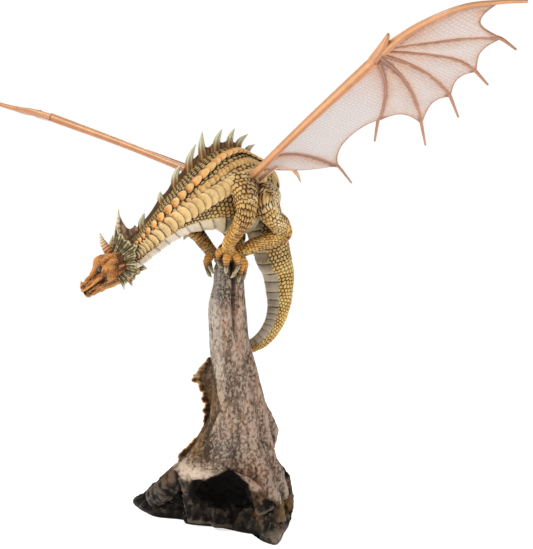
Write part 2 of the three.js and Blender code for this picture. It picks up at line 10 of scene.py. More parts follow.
import bpy
import numpy as np
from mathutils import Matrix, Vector

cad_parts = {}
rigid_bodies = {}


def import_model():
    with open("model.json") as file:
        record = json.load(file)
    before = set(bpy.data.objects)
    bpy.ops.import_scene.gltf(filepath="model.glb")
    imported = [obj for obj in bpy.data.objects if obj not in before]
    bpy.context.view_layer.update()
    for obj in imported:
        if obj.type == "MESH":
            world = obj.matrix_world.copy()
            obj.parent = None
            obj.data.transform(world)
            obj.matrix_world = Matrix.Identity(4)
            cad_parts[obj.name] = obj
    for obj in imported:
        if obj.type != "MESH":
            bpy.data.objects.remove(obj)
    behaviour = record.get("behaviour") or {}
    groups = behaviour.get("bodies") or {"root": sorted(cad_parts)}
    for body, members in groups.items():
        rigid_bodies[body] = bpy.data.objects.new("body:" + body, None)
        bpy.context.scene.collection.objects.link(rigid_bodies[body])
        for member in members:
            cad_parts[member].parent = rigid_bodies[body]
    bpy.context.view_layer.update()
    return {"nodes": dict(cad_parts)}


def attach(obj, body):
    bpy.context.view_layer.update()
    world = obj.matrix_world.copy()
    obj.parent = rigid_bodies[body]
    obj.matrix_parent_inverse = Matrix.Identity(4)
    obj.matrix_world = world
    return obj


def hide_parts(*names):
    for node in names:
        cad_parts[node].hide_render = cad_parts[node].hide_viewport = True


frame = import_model()
print("CAD nodes:", sorted(frame["nodes"]))

# %% [markdown]
# ## Numbers on a curve
# Most pieces here are drawn along a line of stations, as a sculptor builds on a bent wire. A
# Catmull-Rom curve passes through every station, so a station is also a place on the statue.
# All the sizes below are millimetres, and a mesh is turned into metres when it is made.

# %% A smooth curve
MM = 0.001
PI = math.pi


def catmull(points, t, closed=False):
    """The smooth curve through points, read at t: t counts the stations, so 2.5 is half way
    from station 2 to station 3. Each piece is the cubic whose slopes are half of the chords
    between the neighbours on either side."""
    p = np.asarray(points, float)
    if closed:
        p = np.vstack([p[-1], p, p[0], p[1]])
    else:
        p = np.vstack([2 * p[0] - p[1], p, 2 * p[-1] - p[-2]])
    t = np.clip(np.asarray(t, float), 0, len(p) - 3 - 1e-9)
    i = t.astype(int)
    w = (t - i)[..., None]
    a, b, c, d = p[i], p[i + 1], p[i + 2], p[i + 3]
    return b + 0.5 * w * (c - a + w * (2 * a - 5 * b + 4 * c - d + w * (3 * b - a - 3 * c + d)))


def unit(v):
    """The vectors v, made one long."""
    return v / np.maximum(np.linalg.norm(v, axis=-1, keepdims=True), 1e-9)


print("a curve's middle:", catmull([[0, 0], [1, 1], [2, 0]], 1.5))

# %% Skins round a line


def follow(stations, t, top=None):
    """The frame along a line of stations (place, half width, half height[, way up]): its centre,
    the way ahead, the way up square to that, the way to the side, and the two half sizes."""
    places = [s[0] for s in stations]
    sizes = [[s[1], s[2]] for s in stations]
    tops = [s[3] if len(s) > 3 else top for s in stations]
    centre = catmull(places, t)
    ahead = unit(catmull(places, np.asarray(t) + 0.02) - catmull(places, np.asarray(t) - 0.02))
    up = catmull(tops, t)
    up = unit(up - ahead * np.sum(up * ahead, axis=-1, keepdims=True))
    half = np.maximum(catmull(sizes, t), 0.2)
    return centre, ahead, up, np.cross(ahead, up), half


def on_skin(line, angle, raised=0.0):
    """Points on an oval skin round a line: angle 0 is the back, and raised is how far outside.
    point = centre + up cos(angle) (half height + raised) + side sin(angle) (half width + raised)."""
    centre, _, up, side, half = line
    c, s = np.cos(angle)[..., None], np.sin(angle)[..., None]
    raised = np.asarray(raised)[..., None]
    return centre + up * c * (half[..., 1:] + raised) + side * s * (half[..., :1] + raised)


def even_steps(stations, start, end, count):
    """count values of t from start to end, an even distance apart along the line."""
    t = np.linspace(start, end, 600)
    far = np.linalg.norm(np.diff(catmull([s[0] for s in stations], t), axis=0), axis=1)
    run = np.concatenate([[0], np.cumsum(far)])
    return np.interp(np.linspace(0, run[-1], count), run, t)


def smooth(x, low, high):
    """0 below low, 1 above high, and an S-shaped rise between."""
    w = np.clip((np.asarray(x, float) - low) / (high - low), 0, 1)
    return w * w * (3 - 2 * w)


def dab(x, at, wide):
    """A soft dab: 1 where x is at its middle, fading over a width on either side."""
    return np.exp(-((x - at) / wide) ** 2)


def ring_angles(rings, sides, start=-PI):
    """The angle of each point of a grid of rings, going once round from start."""
    return np.linspace(start, start + 2 * PI, sides, endpoint=False)[None, :] + np.zeros((rings, 1))


def ball_grid(rings, sides, gap):
    """Points on a ball one in radius: rings from pole to pole, the first and last a gap off."""
    rise = np.linspace(gap, PI - gap, rings)[:, None]
    turn = np.linspace(0, 2 * PI, sides, endpoint=False)[None, :]
    return np.dstack([np.sin(rise) * np.cos(turn), np.sin(rise) * np.sin(turn),
                      np.cos(rise) + 0 * turn])


print("a step's middle:", smooth(5, 0, 10), "a dab's edge:", dab(1, 0, 1).round(3))

# %% [markdown]
# ## Roughness that is the same each time
# Cast stone and bark need irregular relief. Value noise gives each corner of a cubic lattice a
# number that comes from its own coordinates, and blends between corners, so nothing is random.

# %% Value noise
PRIMES = np.array([73856093, 19349663, 83492791], dtype=np.int64)
MIXER = 1274126177


def noise(p, size, seed=0):
    """Smooth noise from -1 to 1 on points p, with lumps about size across."""
    q = p / np.asarray(size, float)
    i = np.floor(q).astype(np.int64)
    f = q - i
    f = f * f * (3 - 2 * f)
    total = np.zeros(q.shape[:-1])
    for corner in np.ndindex(2, 2, 2):
        h = ((i + corner) * PRIMES).sum(-1) + seed * 977
        h = (h ^ (h >> 13)) * MIXER
        value = ((h ^ (h >> 16)) & 0xFFFF) / 32767.5 - 1
        total += value * np.prod(np.where(corner, f, 1 - f), axis=-1)
    return total


def rough(p, size, layers=3, seed=0):
    """Noise in layers, each half as big and half as strong as the one before."""
    size = np.asarray(size, float)
    return sum(noise(p, size / 2 ** k, seed + k) / 2 ** k for k in range(layers))


print("noise at the origin:", round(float(noise(np.zeros((1, 3)), 5.0)[0]), 3))

# %% [markdown]
# ## From arrays to meshes
# A shape is a grid of points: rings along a line, each with the same number of points. Quads
# join the rings and a pole closes each end, so that every piece is a closed skin. If its volume
# comes out negative, the faces point inwards and are turned round.

# %% Closed grids


def shell(rings):
    """Faces of the closed skin over points shaped (rings, sides, 3), with a pole at each end."""
    count, sides = rings.shape[:2]
    a = np.arange(count * sides).reshape(count, sides)
    b = np.roll(a, -1, axis=1)
    quads = np.stack([a[:-1], b[:-1], b[1:], a[1:]], axis=-1).reshape(-1, 4)
    points = np.vstack([rings.reshape(-1, 3), rings[0].mean(0), rings[-1].mean(0)])
    first, last = count * sides, count * sides + 1
    low = np.stack([b[0], a[0], np.full(sides, first), np.full(sides, first)], axis=-1)
    high = np.stack([a[-1], b[-1], np.full(sides, last), np.full(sides, last)], axis=-1)
    return points, np.vstack([quads, low, high])


def sheet_shell(top, bottom):
    """The closed skin round a sheet, from its two sides, each shaped (rows, columns, 3)."""
    return shell(np.concatenate([top, bottom[:, ::-1]], axis=1))


def outward(points, faces):
    """The faces, turned round if the volume inside them is negative. A triangle keeps its last
    two corners the same."""
    a, b, c, d = (points[faces[:, k]] for k in range(4))
    if (a * np.cross(b, c)).sum() + (a * np.cross(c, d)).sum() >= 0:
        return faces
    triangle = (faces[:, 2] == faces[:, 3])[:, None]
    return np.where(triangle, faces[:, [1, 0, 2, 3]], faces[:, ::-1])


def gather(parts):
    """Several (points, faces, values) as one. values is a dict of arrays, one value a point."""
    points, faces, values, base = [], [], {}, 0
    for p, f, v in parts:
        points.append(p)
        faces.append(outward(p, f) + base)
        for key, value in v.items():
            values.setdefault(key, []).append(value)
        base += len(p)
    return np.vstack(points), np.vstack(faces), {k: np.concatenate(v) for k, v in values.items()}


print("a tube of 3 rings of 4 points has", len(shell(np.zeros((3, 4, 3)))[1]), "faces")

# %% Mesh objects


def set_values(mesh, values):
    """Writes attributes on a mesh's points, over those it has: one column is a number and four
    are a colour."""
    for key, value in values.items():
        if key in mesh.attributes:
            mesh.attributes.remove(mesh.attributes[key])
        kind, field = ("FLOAT_COLOR", "color") if value.ndim == 2 else ("FLOAT", "value")
        layer = mesh.attributes.new(key, kind, "POINT")
        layer.data.foreach_set(field, value.astype(np.float32).ravel())


def make_piece(name, points, faces, values=None):
    """A mesh object from points in millimetres and faces of four corners. A face whose last two
    corners are the same is a triangle."""
    triangle = faces[:, 2] == faces[:, 3]
    corners = np.where(triangle, 3, 4)
    keep = np.ones(faces.shape, bool)
    keep[triangle, 3] = False
    mesh = bpy.data.meshes.new(name)
    mesh.vertices.add(len(points))
    mesh.vertices.foreach_set("co", (points * MM).astype(np.float32).ravel())
    mesh.loops.add(int(corners.sum()))
    mesh.loops.foreach_set("vertex_index", faces[keep].astype(np.int32))
    mesh.polygons.add(len(faces))
    starts = np.concatenate([[0], np.cumsum(corners)[:-1]])
    mesh.polygons.foreach_set("loop_start", starts.astype(np.int32))
    mesh.update(calc_edges=True)
    mesh.validate()
    set_values(mesh, values or {})
    mesh.shade_smooth()
    piece = bpy.data.objects.new(name, mesh)
    bpy.context.scene.collection.objects.link(piece)
    print(f"{name}: {len(points)} points, {len(faces)} faces")
    return piece


print("100 mm on the statue is", 100 * MM, "in a mesh")

# %% Colours


def colour(red, green, blue):
    """A colour read off a screen, 0 to 255, as the linear light that Blender works in."""
    c = np.array([red, green, blue]) / 255
    return np.where(c < 0.04045, c / 12.92, ((c + 0.055) / 1.055) ** 2.4)


def blend(first, second, amount):
    """Colours from first to second, by an amount from 0 to 1 for each point."""
    amount = np.clip(np.asarray(amount, float), 0, 1)[..., None]
    return np.asarray(first) * (1 - amount) + np.asarray(second) * amount


def rgba(c, count=None):
    """Colours as rows of four numbers, repeated count times if there is only one."""
    c = np.asarray(c, float)
    c = np.broadcast_to(c, (count, 3)) if c.ndim == 1 else c.reshape(-1, 3)
    return np.hstack([c, np.ones((len(c), 1))])


def coats(paint, *layers):
    """Paint with layers laid over it, each one a colour and how much of it lies on each point."""
    for tint, amount in layers:
        paint = blend(paint, tint, amount)
    return paint


print("a mid grey in linear light:", colour(128, 128, 128).round(3))

# %% Parts that carry their paint


def both_sides(sheet):
    """The values of a sheet's points for its top and, turned round, for its bottom."""
    return np.concatenate([sheet, sheet[:, ::-1]], axis=1)


def dressed(skin, relief, paint=None, ends=(0.5, 0.5), caps=()):
    """A part from a closed skin, with the relief and paint of its grid's points. ends is the
    relief of its two poles and caps is their paint."""
    points, faces = skin
    values = {"relief": np.append(relief, ends)}
    if paint is not None:
        values["paint"] = rgba(np.vstack([paint.reshape(-1, 3), *caps]))
    return points, faces, values


print("a sheet of 2 x 3 points has", both_sides(np.zeros((2, 3))).size, "on its two sides")

# %% [markdown]
# ## Camera
# The statue is seen from its front left, level with its middle. A camera needs a place and a
# direction, and `to_track_quat` turns that direction into a rotation. The focal length is given
# in pixels, as a photograph gives it, and the sensor's height turns it into millimetres.

# %% Camera
VIEW_SIDE = np.array([math.cos(PI / 4), math.sin(PI / 4), 0.0])
VIEW_AWAY = np.array([-math.sin(PI / 4), math.cos(PI / 4), 0.0])
CAMERA_DISTANCE = 1200.0
CAMERA_RIGHT = 33.6
CAMERA_HEIGHT = 324.72
LOOK_DOWN = 0.0185
FOCAL_PIXELS = 1000.0
PICTURE_HEIGHT = 549.0
SENSOR = 24.0

place = VIEW_SIDE * CAMERA_RIGHT - VIEW_AWAY * CAMERA_DISTANCE + np.array([0, 0, CAMERA_HEIGHT])
look = Vector(VIEW_AWAY - np.array([0, 0, LOOK_DOWN]))
lens = bpy.data.cameras.new("camera")
lens.sensor_fit = "VERTICAL"
lens.sensor_height = SENSOR
lens.lens = SENSOR * FOCAL_PIXELS / PICTURE_HEIGHT
lens.clip_end = 30
camera = bpy.data.objects.new("camera", lens)
camera.location = place * MM
camera.rotation_euler = look.to_track_quat("-Z", "Y").to_euler()
bpy.context.scene.collection.objects.link(camera)
bpy.context.scene.camera = camera
print("camera at", (place * MM).round(3), "lens", round(lens.lens, 2))

# %% [markdown]
# ## Floor and light
# A product table is lit evenly, by soft boxes over a white floor. Area lamps give the same soft
# shadows. A bright white sky would fill the recesses too, so the sky is dim as a light and the
# Light Path node shows it white to the camera alone.

# %% Floor and lights
FLOOR_HALF = 6.0
SKY_LIGHT = 0.30                  # how bright the sky is as a light; the camera sees it white
FLOOR_GLOW = 0.74
LIGHTS = [
    # name, place, aims at, size, watts
    ("key_box", (-0.5, -1.9, 2.0), (0.0, 0.0, 0.3), 0.7, 40.0),
    ("side_box", (2.1, 0.5, 1.5), (0.0, 0.0, 0.3), 0.9, 14.0),
    ("back_box", (-1.2, 1.6, 1.9), (0.0, 0.0, 0.4), 1.2, 18.0),
]


def plain_material(name, look, **sockets):
    """A Principled material with one colour and the given values on its sockets."""
    material = bpy.data.materials.new(name)
    material.use_nodes = True
    shader = material.node_tree.nodes["Principled BSDF"]
    shader.inputs["Base Color"].default_value = (*look, 1)
    for socket, value in sockets.items():
        shader.inputs[socket.replace("_", " ")].default_value = value
    return material


corners = np.array([[-1, -1, 0], [1, -1, 0], [1, 1, 0], [-1, 1, 0]]) * FLOOR_HALF / MM
floor = make_piece("floor", corners + [0, 0, -0.4], np.array([[0, 1, 2, 3]]))
floor.data.materials.append(plain_material("white_floor", (0.86, 0.86, 0.86), Roughness=0.9,
                                           Emission_Color=(1, 1, 1, 1), Emission_Strength=FLOOR_GLOW))

for name, spot, aim, size, watts in LIGHTS:
    lamp = bpy.data.lights.new(name, "AREA")
    lamp.energy = watts
    lamp.size = size
    box = bpy.data.objects.new(name, lamp)
    box.location = spot
    box.rotation_euler = (Vector(aim) - Vector(spot)).to_track_quat("-Z", "Y").to_euler()
    bpy.context.scene.collection.objects.link(box)

sky = bpy.data.worlds.new("white_room")
sky.use_nodes = True
sky.node_tree.nodes["Background"].inputs["Color"].default_value = (1, 1, 1, 1)
nodes, links = sky.node_tree.nodes, sky.node_tree.links
level = nodes.new("ShaderNodeMath")
level.operation = "MULTIPLY_ADD"
level.inputs[1].default_value, level.inputs[2].default_value = 1 - SKY_LIGHT, SKY_LIGHT
links.new(nodes.new("ShaderNodeLightPath").outputs["Is Camera Ray"], level.inputs[0])
links.new(level.outputs[0], nodes["Background"].inputs["Strength"])
bpy.context.scene.world = sky
bpy.context.scene.view_settings.view_transform = "Standard"
print("lights:", [row[0] for row in LIGHTS])

# %% [markdown]
# ## The paint
# A cast figure is painted in three steps: a base colour, a dark wash that settles in the
# recesses, and a light colour brushed dry over the high places. An image texture could hold all
# that, but here the meshes carry the base colour as `paint` and the height of the relief as
# `relief`, from 0 in a groove to 1 on a ridge. One shader group turns both into the finished
# colour, so every material is painted in the same way with its own wash and brush.

# %% Node helpers


def new_group(name, inputs, outputs):
    """An empty shader group with the named sockets, and its two end nodes."""
    group = bpy.data.node_groups.new(name, "ShaderNodeTree")
    for way, rows in (("INPUT", inputs), ("OUTPUT", outputs)):
        for label, kind, value in rows:
            socket = group.interface.new_socket(label, in_out=way, socket_type="NodeSocket" + kind)
            if value is not None:
                socket.default_value = value
    return group, group.nodes.new("NodeGroupInput"), group.nodes.new("NodeGroupOutput")


def add(tree, kind, settings=None, **inputs):
    """A node in a tree, with its settings, and inputs that are values or another node's output.
    A name such as in0 is the input's number; any other name is the input's own."""
    node = tree.nodes.new("ShaderNode" + kind)
    for key, value in (settings or {}).items():
        setattr(node, key, value)
    for key, value in inputs.items():
        socket = node.inputs[int(key[2:])] if key.startswith("in") and key[2:].isdigit() \
            else node.inputs[key.replace("_", " ")]
        if isinstance(value, bpy.types.NodeSocket):
            tree.links.new(value, socket)
        else:
            socket.default_value = value
    return node


def mix_colour(tree, way, amount, first, second):
    """Two colours mixed in one of the ways of the Mix node, and its colour output."""
    node = add(tree, "Mix", {"data_type": "RGBA", "blend_type": way}, in0=amount)
    for number, value in ((6, first), (7, second)):
        if isinstance(value, bpy.types.NodeSocket):
            tree.links.new(value, node.inputs[number])
        else:
            node.inputs[number].default_value = (*value, 1)
    return node.outputs[2]


def ramp(tree, value, low, high):
    """A value from low to high, stretched to run from 0 to 1."""
    node = add(tree, "MapRange", {"interpolation_type": "SMOOTHSTEP"}, in0=value, in1=low, in2=high)
    return node.outputs[0]


def times(tree, first, second):
    """Two values multiplied."""
    return add(tree, "Math", {"operation": "MULTIPLY"}, in0=first, in1=second).outputs[0]


print("node helpers:", [helper.__name__ for helper in (new_group, add, mix_colour, ramp, times)])

# %% The wash group
PATCH_TINT = (0.35, 0.25, 0.16)   # what the mottling multiplies the base colour by
PATCHED = (0.42, 0.66)            # noise where a patch starts, and where it is full
WASHED = (0.8, 0.42)              # relief where the wash starts, and where it is full
BRUSHED = (0.86, 1.12)            # relief where the dry brushing starts, and where it is full
GRAIN_SHARE = 0.3                 # how far the grain shifts the edges of wash and brushing


def build_wash():
    """Base colour, then mottling, a wash in the recesses and dry brushing on the high places."""
    group, source, sink = new_group(
        "wash_and_drybrush",
        [("Paint", "Color", None), ("Relief", "Float", 0.5), ("Wash", "Color", (0.03, 0.02, 0.01, 1)),
         ("Brush", "Color", (0.8, 0.6, 0.3, 1)), ("Wash Amount", "Float", 0.8),
         ("Brush Amount", "Float", 0.4), ("Mottle", "Float", 0.25), ("Grain Size", "Float", 300.0)],
        [("Color", "Color", None), ("Roughness", "Float", None), ("Height", "Float", None)])
    given = source.outputs
    place = add(group, "TexCoord").outputs["Object"]
    patches = add(group, "TexNoise", Vector=place, Scale=45.0, Detail=4.0, Roughness=0.6)
    grain = add(group, "TexNoise", Vector=place, Scale=given["Grain Size"], Detail=3.0)
    shaken = add(group, "Math", {"operation": "MULTIPLY_ADD"}, in0=grain.outputs[0],
                 in1=GRAIN_SHARE, in2=given["Relief"]).outputs[0]
    low = times(group, given["Wash Amount"], ramp(group, shaken, *WASHED))
    high = times(group, given["Brush Amount"], ramp(group, shaken, *BRUSHED))
    mottle = times(group, given["Mottle"], ramp(group, patches.outputs[0], *PATCHED))
    base = mix_colour(group, "MULTIPLY", mottle, given["Paint"], PATCH_TINT)
    washed = mix_colour(group, "MIX", low, base, given["Wash"])
    done = mix_colour(group, "MIX", high, washed, given["Brush"])
    sheen = add(group, "MapRange", in0=shaken, in1=0.1, in2=1.0, in3=0.68, in4=0.42).outputs[0]
    group.links.new(done, sink.inputs["Color"])
    group.links.new(sheen, sink.inputs["Roughness"])
    group.links.new(grain.outputs[0], sink.inputs["Height"])
    return group


wash_group = build_wash()
print("shader groups:", [group.name for group in bpy.data.node_groups])

# %% Painted materials
SHINE = 0.2
# painted shade: the Ambient Occlusion node darkens deep corners and gaps between parts, together with the
# wash
CORNER_WASH_AND_SHADE = 0.5                 # how much more wash lies in deep corners
CORNER_REACH = 0.02               # how near, in metres, another surface makes a corner
OPEN_SHARE = 0.85                 # how open a place is where the corners add no wash


def painted(name, wash, brush, wash_amount=0.85, brush_amount=0.4, mottle=0.3, grain=300.0,
            bump=0.25, sockets=()):
    """A painted material: the paint and relief attributes through the wash group, with the
    relief lowered in corners so that more wash settles there, and painted shade with it."""
    material = bpy.data.materials.new(name)
    material.use_nodes = True
    tree = material.node_tree
    shader = tree.nodes["Principled BSDF"]
    relief = add(tree, "Attribute", {"attribute_name": "relief"}).outputs["Fac"]
    # painted shade and wash in corners, where another surface is near
    corners = add(tree, "AmbientOcclusion", {"samples": 6}, Distance=CORNER_REACH).outputs["AO"]
    wash_and_shade_in_corners = add(tree, "Math", {"operation": "MULTIPLY_ADD"}, in0=corners, in1=CORNER_WASH_AND_SHADE,
                  in2=-CORNER_WASH_AND_SHADE * OPEN_SHARE).outputs[0]
    relief = add(tree, "Math", {"operation": "ADD"}, in0=relief, in1=wash_and_shade_in_corners).outputs[0]
    shader.inputs["Specular IOR Level"].default_value = SHINE
    coat = add(tree, "Group", {"node_tree": wash_group},
               Paint=add(tree, "Attribute", {"attribute_name": "paint"}).outputs["Color"],
               Relief=relief,
               Wash=(*wash, 1), Brush=(*brush, 1), Wash_Amount=wash_amount,
               Brush_Amount=brush_amount, Mottle=mottle, Grain_Size=grain)
    tree.links.new(coat.outputs["Color"], shader.inputs["Base Color"])
    tree.links.new(coat.outputs["Roughness"], shader.inputs["Roughness"])
    lumps = add(tree, "Bump", Height=coat.outputs["Height"], Strength=bump, Distance=0.0006)
    tree.links.new(lumps.outputs[0], shader.inputs["Normal"])
    for socket, value in dict(sockets).items():
        shader.inputs[socket].default_value = value
    return material


scale_paint = painted("painted_scales", colour(32, 19, 10), colour(244, 212, 142), 0.95, 0.5, 0.4)
print("material:", scale_paint.name, "with", len(scale_paint.node_tree.nodes), "nodes")

# %% [markdown]
# ## The stump
# The perch is a weathered stump. Its bark runs in strands that twist a little, with pits
# between them. A grid of height by angle carries the flutes that the CAD stump has, and then
# strands from noise that is stretched along the height, so that they look like wood fibre.

# %% Stump sizes
STUMP = [
    # height, centre x, centre y, half widths along the two diagonals
    (4, -12, 8, 58, 36), (36, -11, 4, 57, 37), (64, -9, -4, 58, 40), (84, -5, -5, 49, 35),
    (107, 0, -3, 40, 31), (132, 2, -1, 34, 28), (176, -1, -2, 28, 25), (220, -7, -7, 24.5, 22),
    (262, -9, -9, 22, 20), (290, -8, -8, 18.5, 17), (312, -8, -9, 16, 15), (321, -7, -11, 11, 10),
]
STUMP_GROOVES = 7
DIAGONAL = math.sqrt(0.5)


def ripple(a, b):
    """A wavy number from -1 to 1 that doesn't repeat soon."""
    return np.sin(a * 1.7 + b * 2.3) * np.cos(a * 2.9 - b * 1.3)


def stump_grid(rings, sides):
    """Points of the bare stump by height and angle, and the two grids of height and angle."""
    t = np.linspace(0, len(STUMP) - 1, rings)[:, None] + np.zeros((1, sides))
    angle = ring_angles(rings, sides, 0.0)
    level = catmull(STUMP, t)
    z = level[..., 0]
    groove = 0.05 * np.cos(STUMP_GROOVES * angle + z * 0.012) + 0.03 * ripple(angle * 2, z * 0.03)
    reach = 1 + groove * (1 + smooth(160 - z, 0, 120))
    right = np.cos(angle) * level[..., 3] * reach
    away = np.sin(angle) * level[..., 4] * reach
    x = level[..., 1] + (right - away) * DIAGONAL
    y = level[..., 2] + (right + away) * DIAGONAL
    return np.stack([x, y, z], axis=-1), z, angle


def grid_normals(points):
    """The way out of a grid of rings, from the differences along and round it."""
    along = np.gradient(points, axis=0)
    around = np.roll(points, -1, axis=1) - np.roll(points, 1, axis=1)
    normal = unit(np.cross(along, around))
    middle = points.mean(axis=1, keepdims=True)
    flip = np.sign(np.sum(normal * (points - middle), axis=(1, 2), keepdims=True))
    return normal * np.where(flip == 0, 1, flip)


def fibres(p, stretch=1.0):
    """Relief of weathered wood, 0 in a pit to 1 on a strand: short worm-like marks where a noise
    crosses zero, long weak strands where a stretched one does, and small pits."""
    leaning = p + np.stack([p[..., 2] * 0.10, -p[..., 2] * 0.06, 0 * p[..., 2]], axis=-1)
    worms = smooth(np.abs(noise(leaning, (3.2, 3.2, 6.0 * stretch), 3)), 0.0, 0.3)
    threads = smooth(np.abs(noise(leaning, (2.2, 2.2, 3.2 * stretch), 7)), 0.0, 0.24)
    strands = smooth(np.abs(noise(leaning, (5.5, 5.5, 60), 9)), 0.0, 0.5)
    stipple = smooth(noise(leaning, (1.7, 1.7, 2.4 * stretch), 11), -0.5, 0.3)
    return 0.12 + 0.26 * worms + 0.26 * threads + 0.12 * strands + 0.24 * stipple


print("fibre relief at the origin:", fibres(np.zeros((1, 3))).round(3))

# %% Stump relief
GROOVE_ANGLE, GROOVE_WIDE, GROOVE_DEEP = -1.2, 0.15, 5.0
FIBRE_MIDDLE = 0.7                # the relief that lies on the bare shape
bare, z_grid, angle_grid = stump_grid(300, 250)
bark_relief = fibres(bare)
broad = rough(bare, (15, 15, 46), 2, 5)
strength = 0.75 + 0.5 * smooth(150 - z_grid, 0, 100)
from_groove = np.angle(np.exp(1j * (angle_grid - GROOVE_ANGLE)))
cleft = dab(from_groove, 0, GROOVE_WIDE) * smooth(z_grid, 205, 250)
push = (bark_relief - FIBRE_MIDDLE) * 1.3 * strength + broad * 1.5 * strength - GROOVE_DEEP * cleft
stump_points = bare + grid_normals(bare) * push[..., None]
bark_relief = bark_relief * (1 - 0.85 * cleft)
print("stump from", stump_points[..., 2].min().round(1), "to", stump_points[..., 2].max().round(1))

# %% [markdown]
# ## Roots
# Roots run down from the stump onto a low rock. Each could be sculpted by hand, but a tube along
# four stations already looks like one once it carries the same fibres as the stump. Its ends lie
# inside the trunk, the rock or another root, so that they are hidden when all are joined.

# %% Roots
ROOTS = [
    # four stations, and a radius
    ([(-20, -18, 130), (-47, -33, 76), (-85, -42, 40), (-118, -30, 18)], 14),
    ([(8, 20, 160), (13, 29, 138), (20, 37, 114), (17, 32, 92)], 8),
    ([(22, -4, 110), (38, 0, 74), (50, 2, 42), (58, 0, 14)], 14),
    ([(-16, 26, 120), (-30, 52, 78), (-44, 82, 46), (-52, 104, 18)], 14),
    ([(-104, -26, 30), (-62, -41, 56), (-20, -46, 68), (22, -36, 68)], 8),
    ([(14, -39, 69), (34, -30, 64), (48, -20, 54), (58, -12, 30)], 9),
]
CRAG = ([(14, 38, 70), (22, 46, 58), (28, 51, 34), (27, 48, 8)], 11)   # a ridge of the rock


def root_shell(route, radius, rings=90, sides=44):
    """A root: an oval tube along its route that widens as it goes down, with strands along it."""
    stations = [(p, radius * (0.5 + 0.2 * i), radius * (0.6 + 0.2 * min(i, 2)), (0, 0.2, 1))
                for i, p in enumerate(route)]
    t = even_steps(stations, 0, len(route) - 1, rings)[:, None] + np.zeros((1, sides))
    angle = ring_angles(rings, sides, 0.0)
    ring = np.stack([np.cos(angle) * radius, np.sin(angle) * radius, t * 40], axis=-1)
    relief = fibres(ring, 1.8)
    lumps = rough(ring, (12, 12, 24), 2, 23)
    raised = (relief - FIBRE_MIDDLE) * 1.5 + lumps * 1.8
    return dressed(shell(on_skin(follow(stations, t), angle, raised)), relief)


root_parts = [root_shell(route, radius) for route, radius in ROOTS]
print(len(root_parts), "roots")

# %% [markdown]
# ## Torn bark
# A sheet of torn bark stands off the stump's left side, with a toothed edge. It is drawn as a
# sheet between three lines: where it leaves the stump, a crease, and its edge. A parabola
# through the three bends it, and its two sides lie a thickness apart, so it is closed.

# %% Torn bark
BARK = [
    # height, and how far the edge stands off the stump there
    (204, 2), (188, 15), (178, 22), (164, 12), (146, 8), (130, 8), (112, 12), (90, 33), (70, 42),
]
BARK_TEETH = 11
BARK_THICK = 6.0


def bark_shell(rows=170, columns=30):
    """The bark sheet: rows run down its height, and each goes from the stump through a crease to
    the edge: inner (1-w)(1-2w) + crease 4w(1-w) + edge w(2w-1)."""
    t = np.linspace(0, len(BARK) - 1, rows)[:, None]
    level = catmull(BARK, t[:, 0])
    z, out = level[:, 0], level[:, 1]
    wave = np.abs(((t[:, 0] / (len(BARK) - 1) * BARK_TEETH) % 1) - 0.5) * 2
    out = out + 3.2 * (wave - 0.5) + 1.2 * ripple(z * 0.3, 2)
    spread = smooth(130 - z, 0, 70) * 16
    inner = np.stack([-18 - spread * 0.4, -18 + 0 * z, z], axis=-1)
    edge = np.stack([-26 - out * 0.78 - spread * 0.3, -22 - out * 0.62, z - 2.5 * wave], axis=-1)
    crease = (inner + edge) / 2 + [-6, 6, 0]
    w = np.linspace(0, 1, columns)[None, :, None]
    sheet = (inner[:, None] * (1 - w) * (1 - 2 * w) + crease[:, None] * 4 * w * (1 - w)
             + edge[:, None] * w * (2 * w - 1))
    grain = noise(sheet, (5, 5, 34), 31) + 0.6 * noise(sheet, (2.2, 2.2, 13), 32)
    relief = np.clip(0.5 + 0.45 * grain, 0, 1)
    normal = unit(np.cross(np.gradient(sheet, axis=0), np.gradient(sheet, axis=1)))
    thick = BARK_THICK / 2 * (1 - 0.75 * w ** 4)
    lift = (grain * 0.9)[..., None]
    skin = sheet_shell(sheet + normal * (thick + lift), sheet - normal * (thick - lift))
    return dressed(skin, both_sides(relief))


bark_part = bark_shell()
print("bark sheet:", len(bark_part[0]), "points")

# %% [markdown]
# ## The rock
# The rock could be a rough ball, but its foot is seen clearly, so it starts from that outline.
# The ring of outline points is drawn in towards the rock's heart level by level. A sine of the
# height gives ledges, and noise gives lumps and chips that fade at the foot, which stays flat.

# %% Rock
ROCK = [
    (90, -29), (83, -12), (65, 12), (45, 41), (21, 62), (-18, 104), (-50, 134), (-74, 133),
    (-118, 112), (-156, 84), (-176, 28), (-178, -20), (-152, -36), (-128, -43), (-100, -47),
    (-68, -33), (-48, -41), (-11, -25), (25, -20), (48, -15), (66, -27),
]
ROCK_HEART = np.array([-22.0, 30.0])
ROCK_STEPS = [(0, 0.985), (5, 1.0), (17, 0.9), (30, 0.75), (44, 0.58), (60, 0.42), (74, 0.26)]


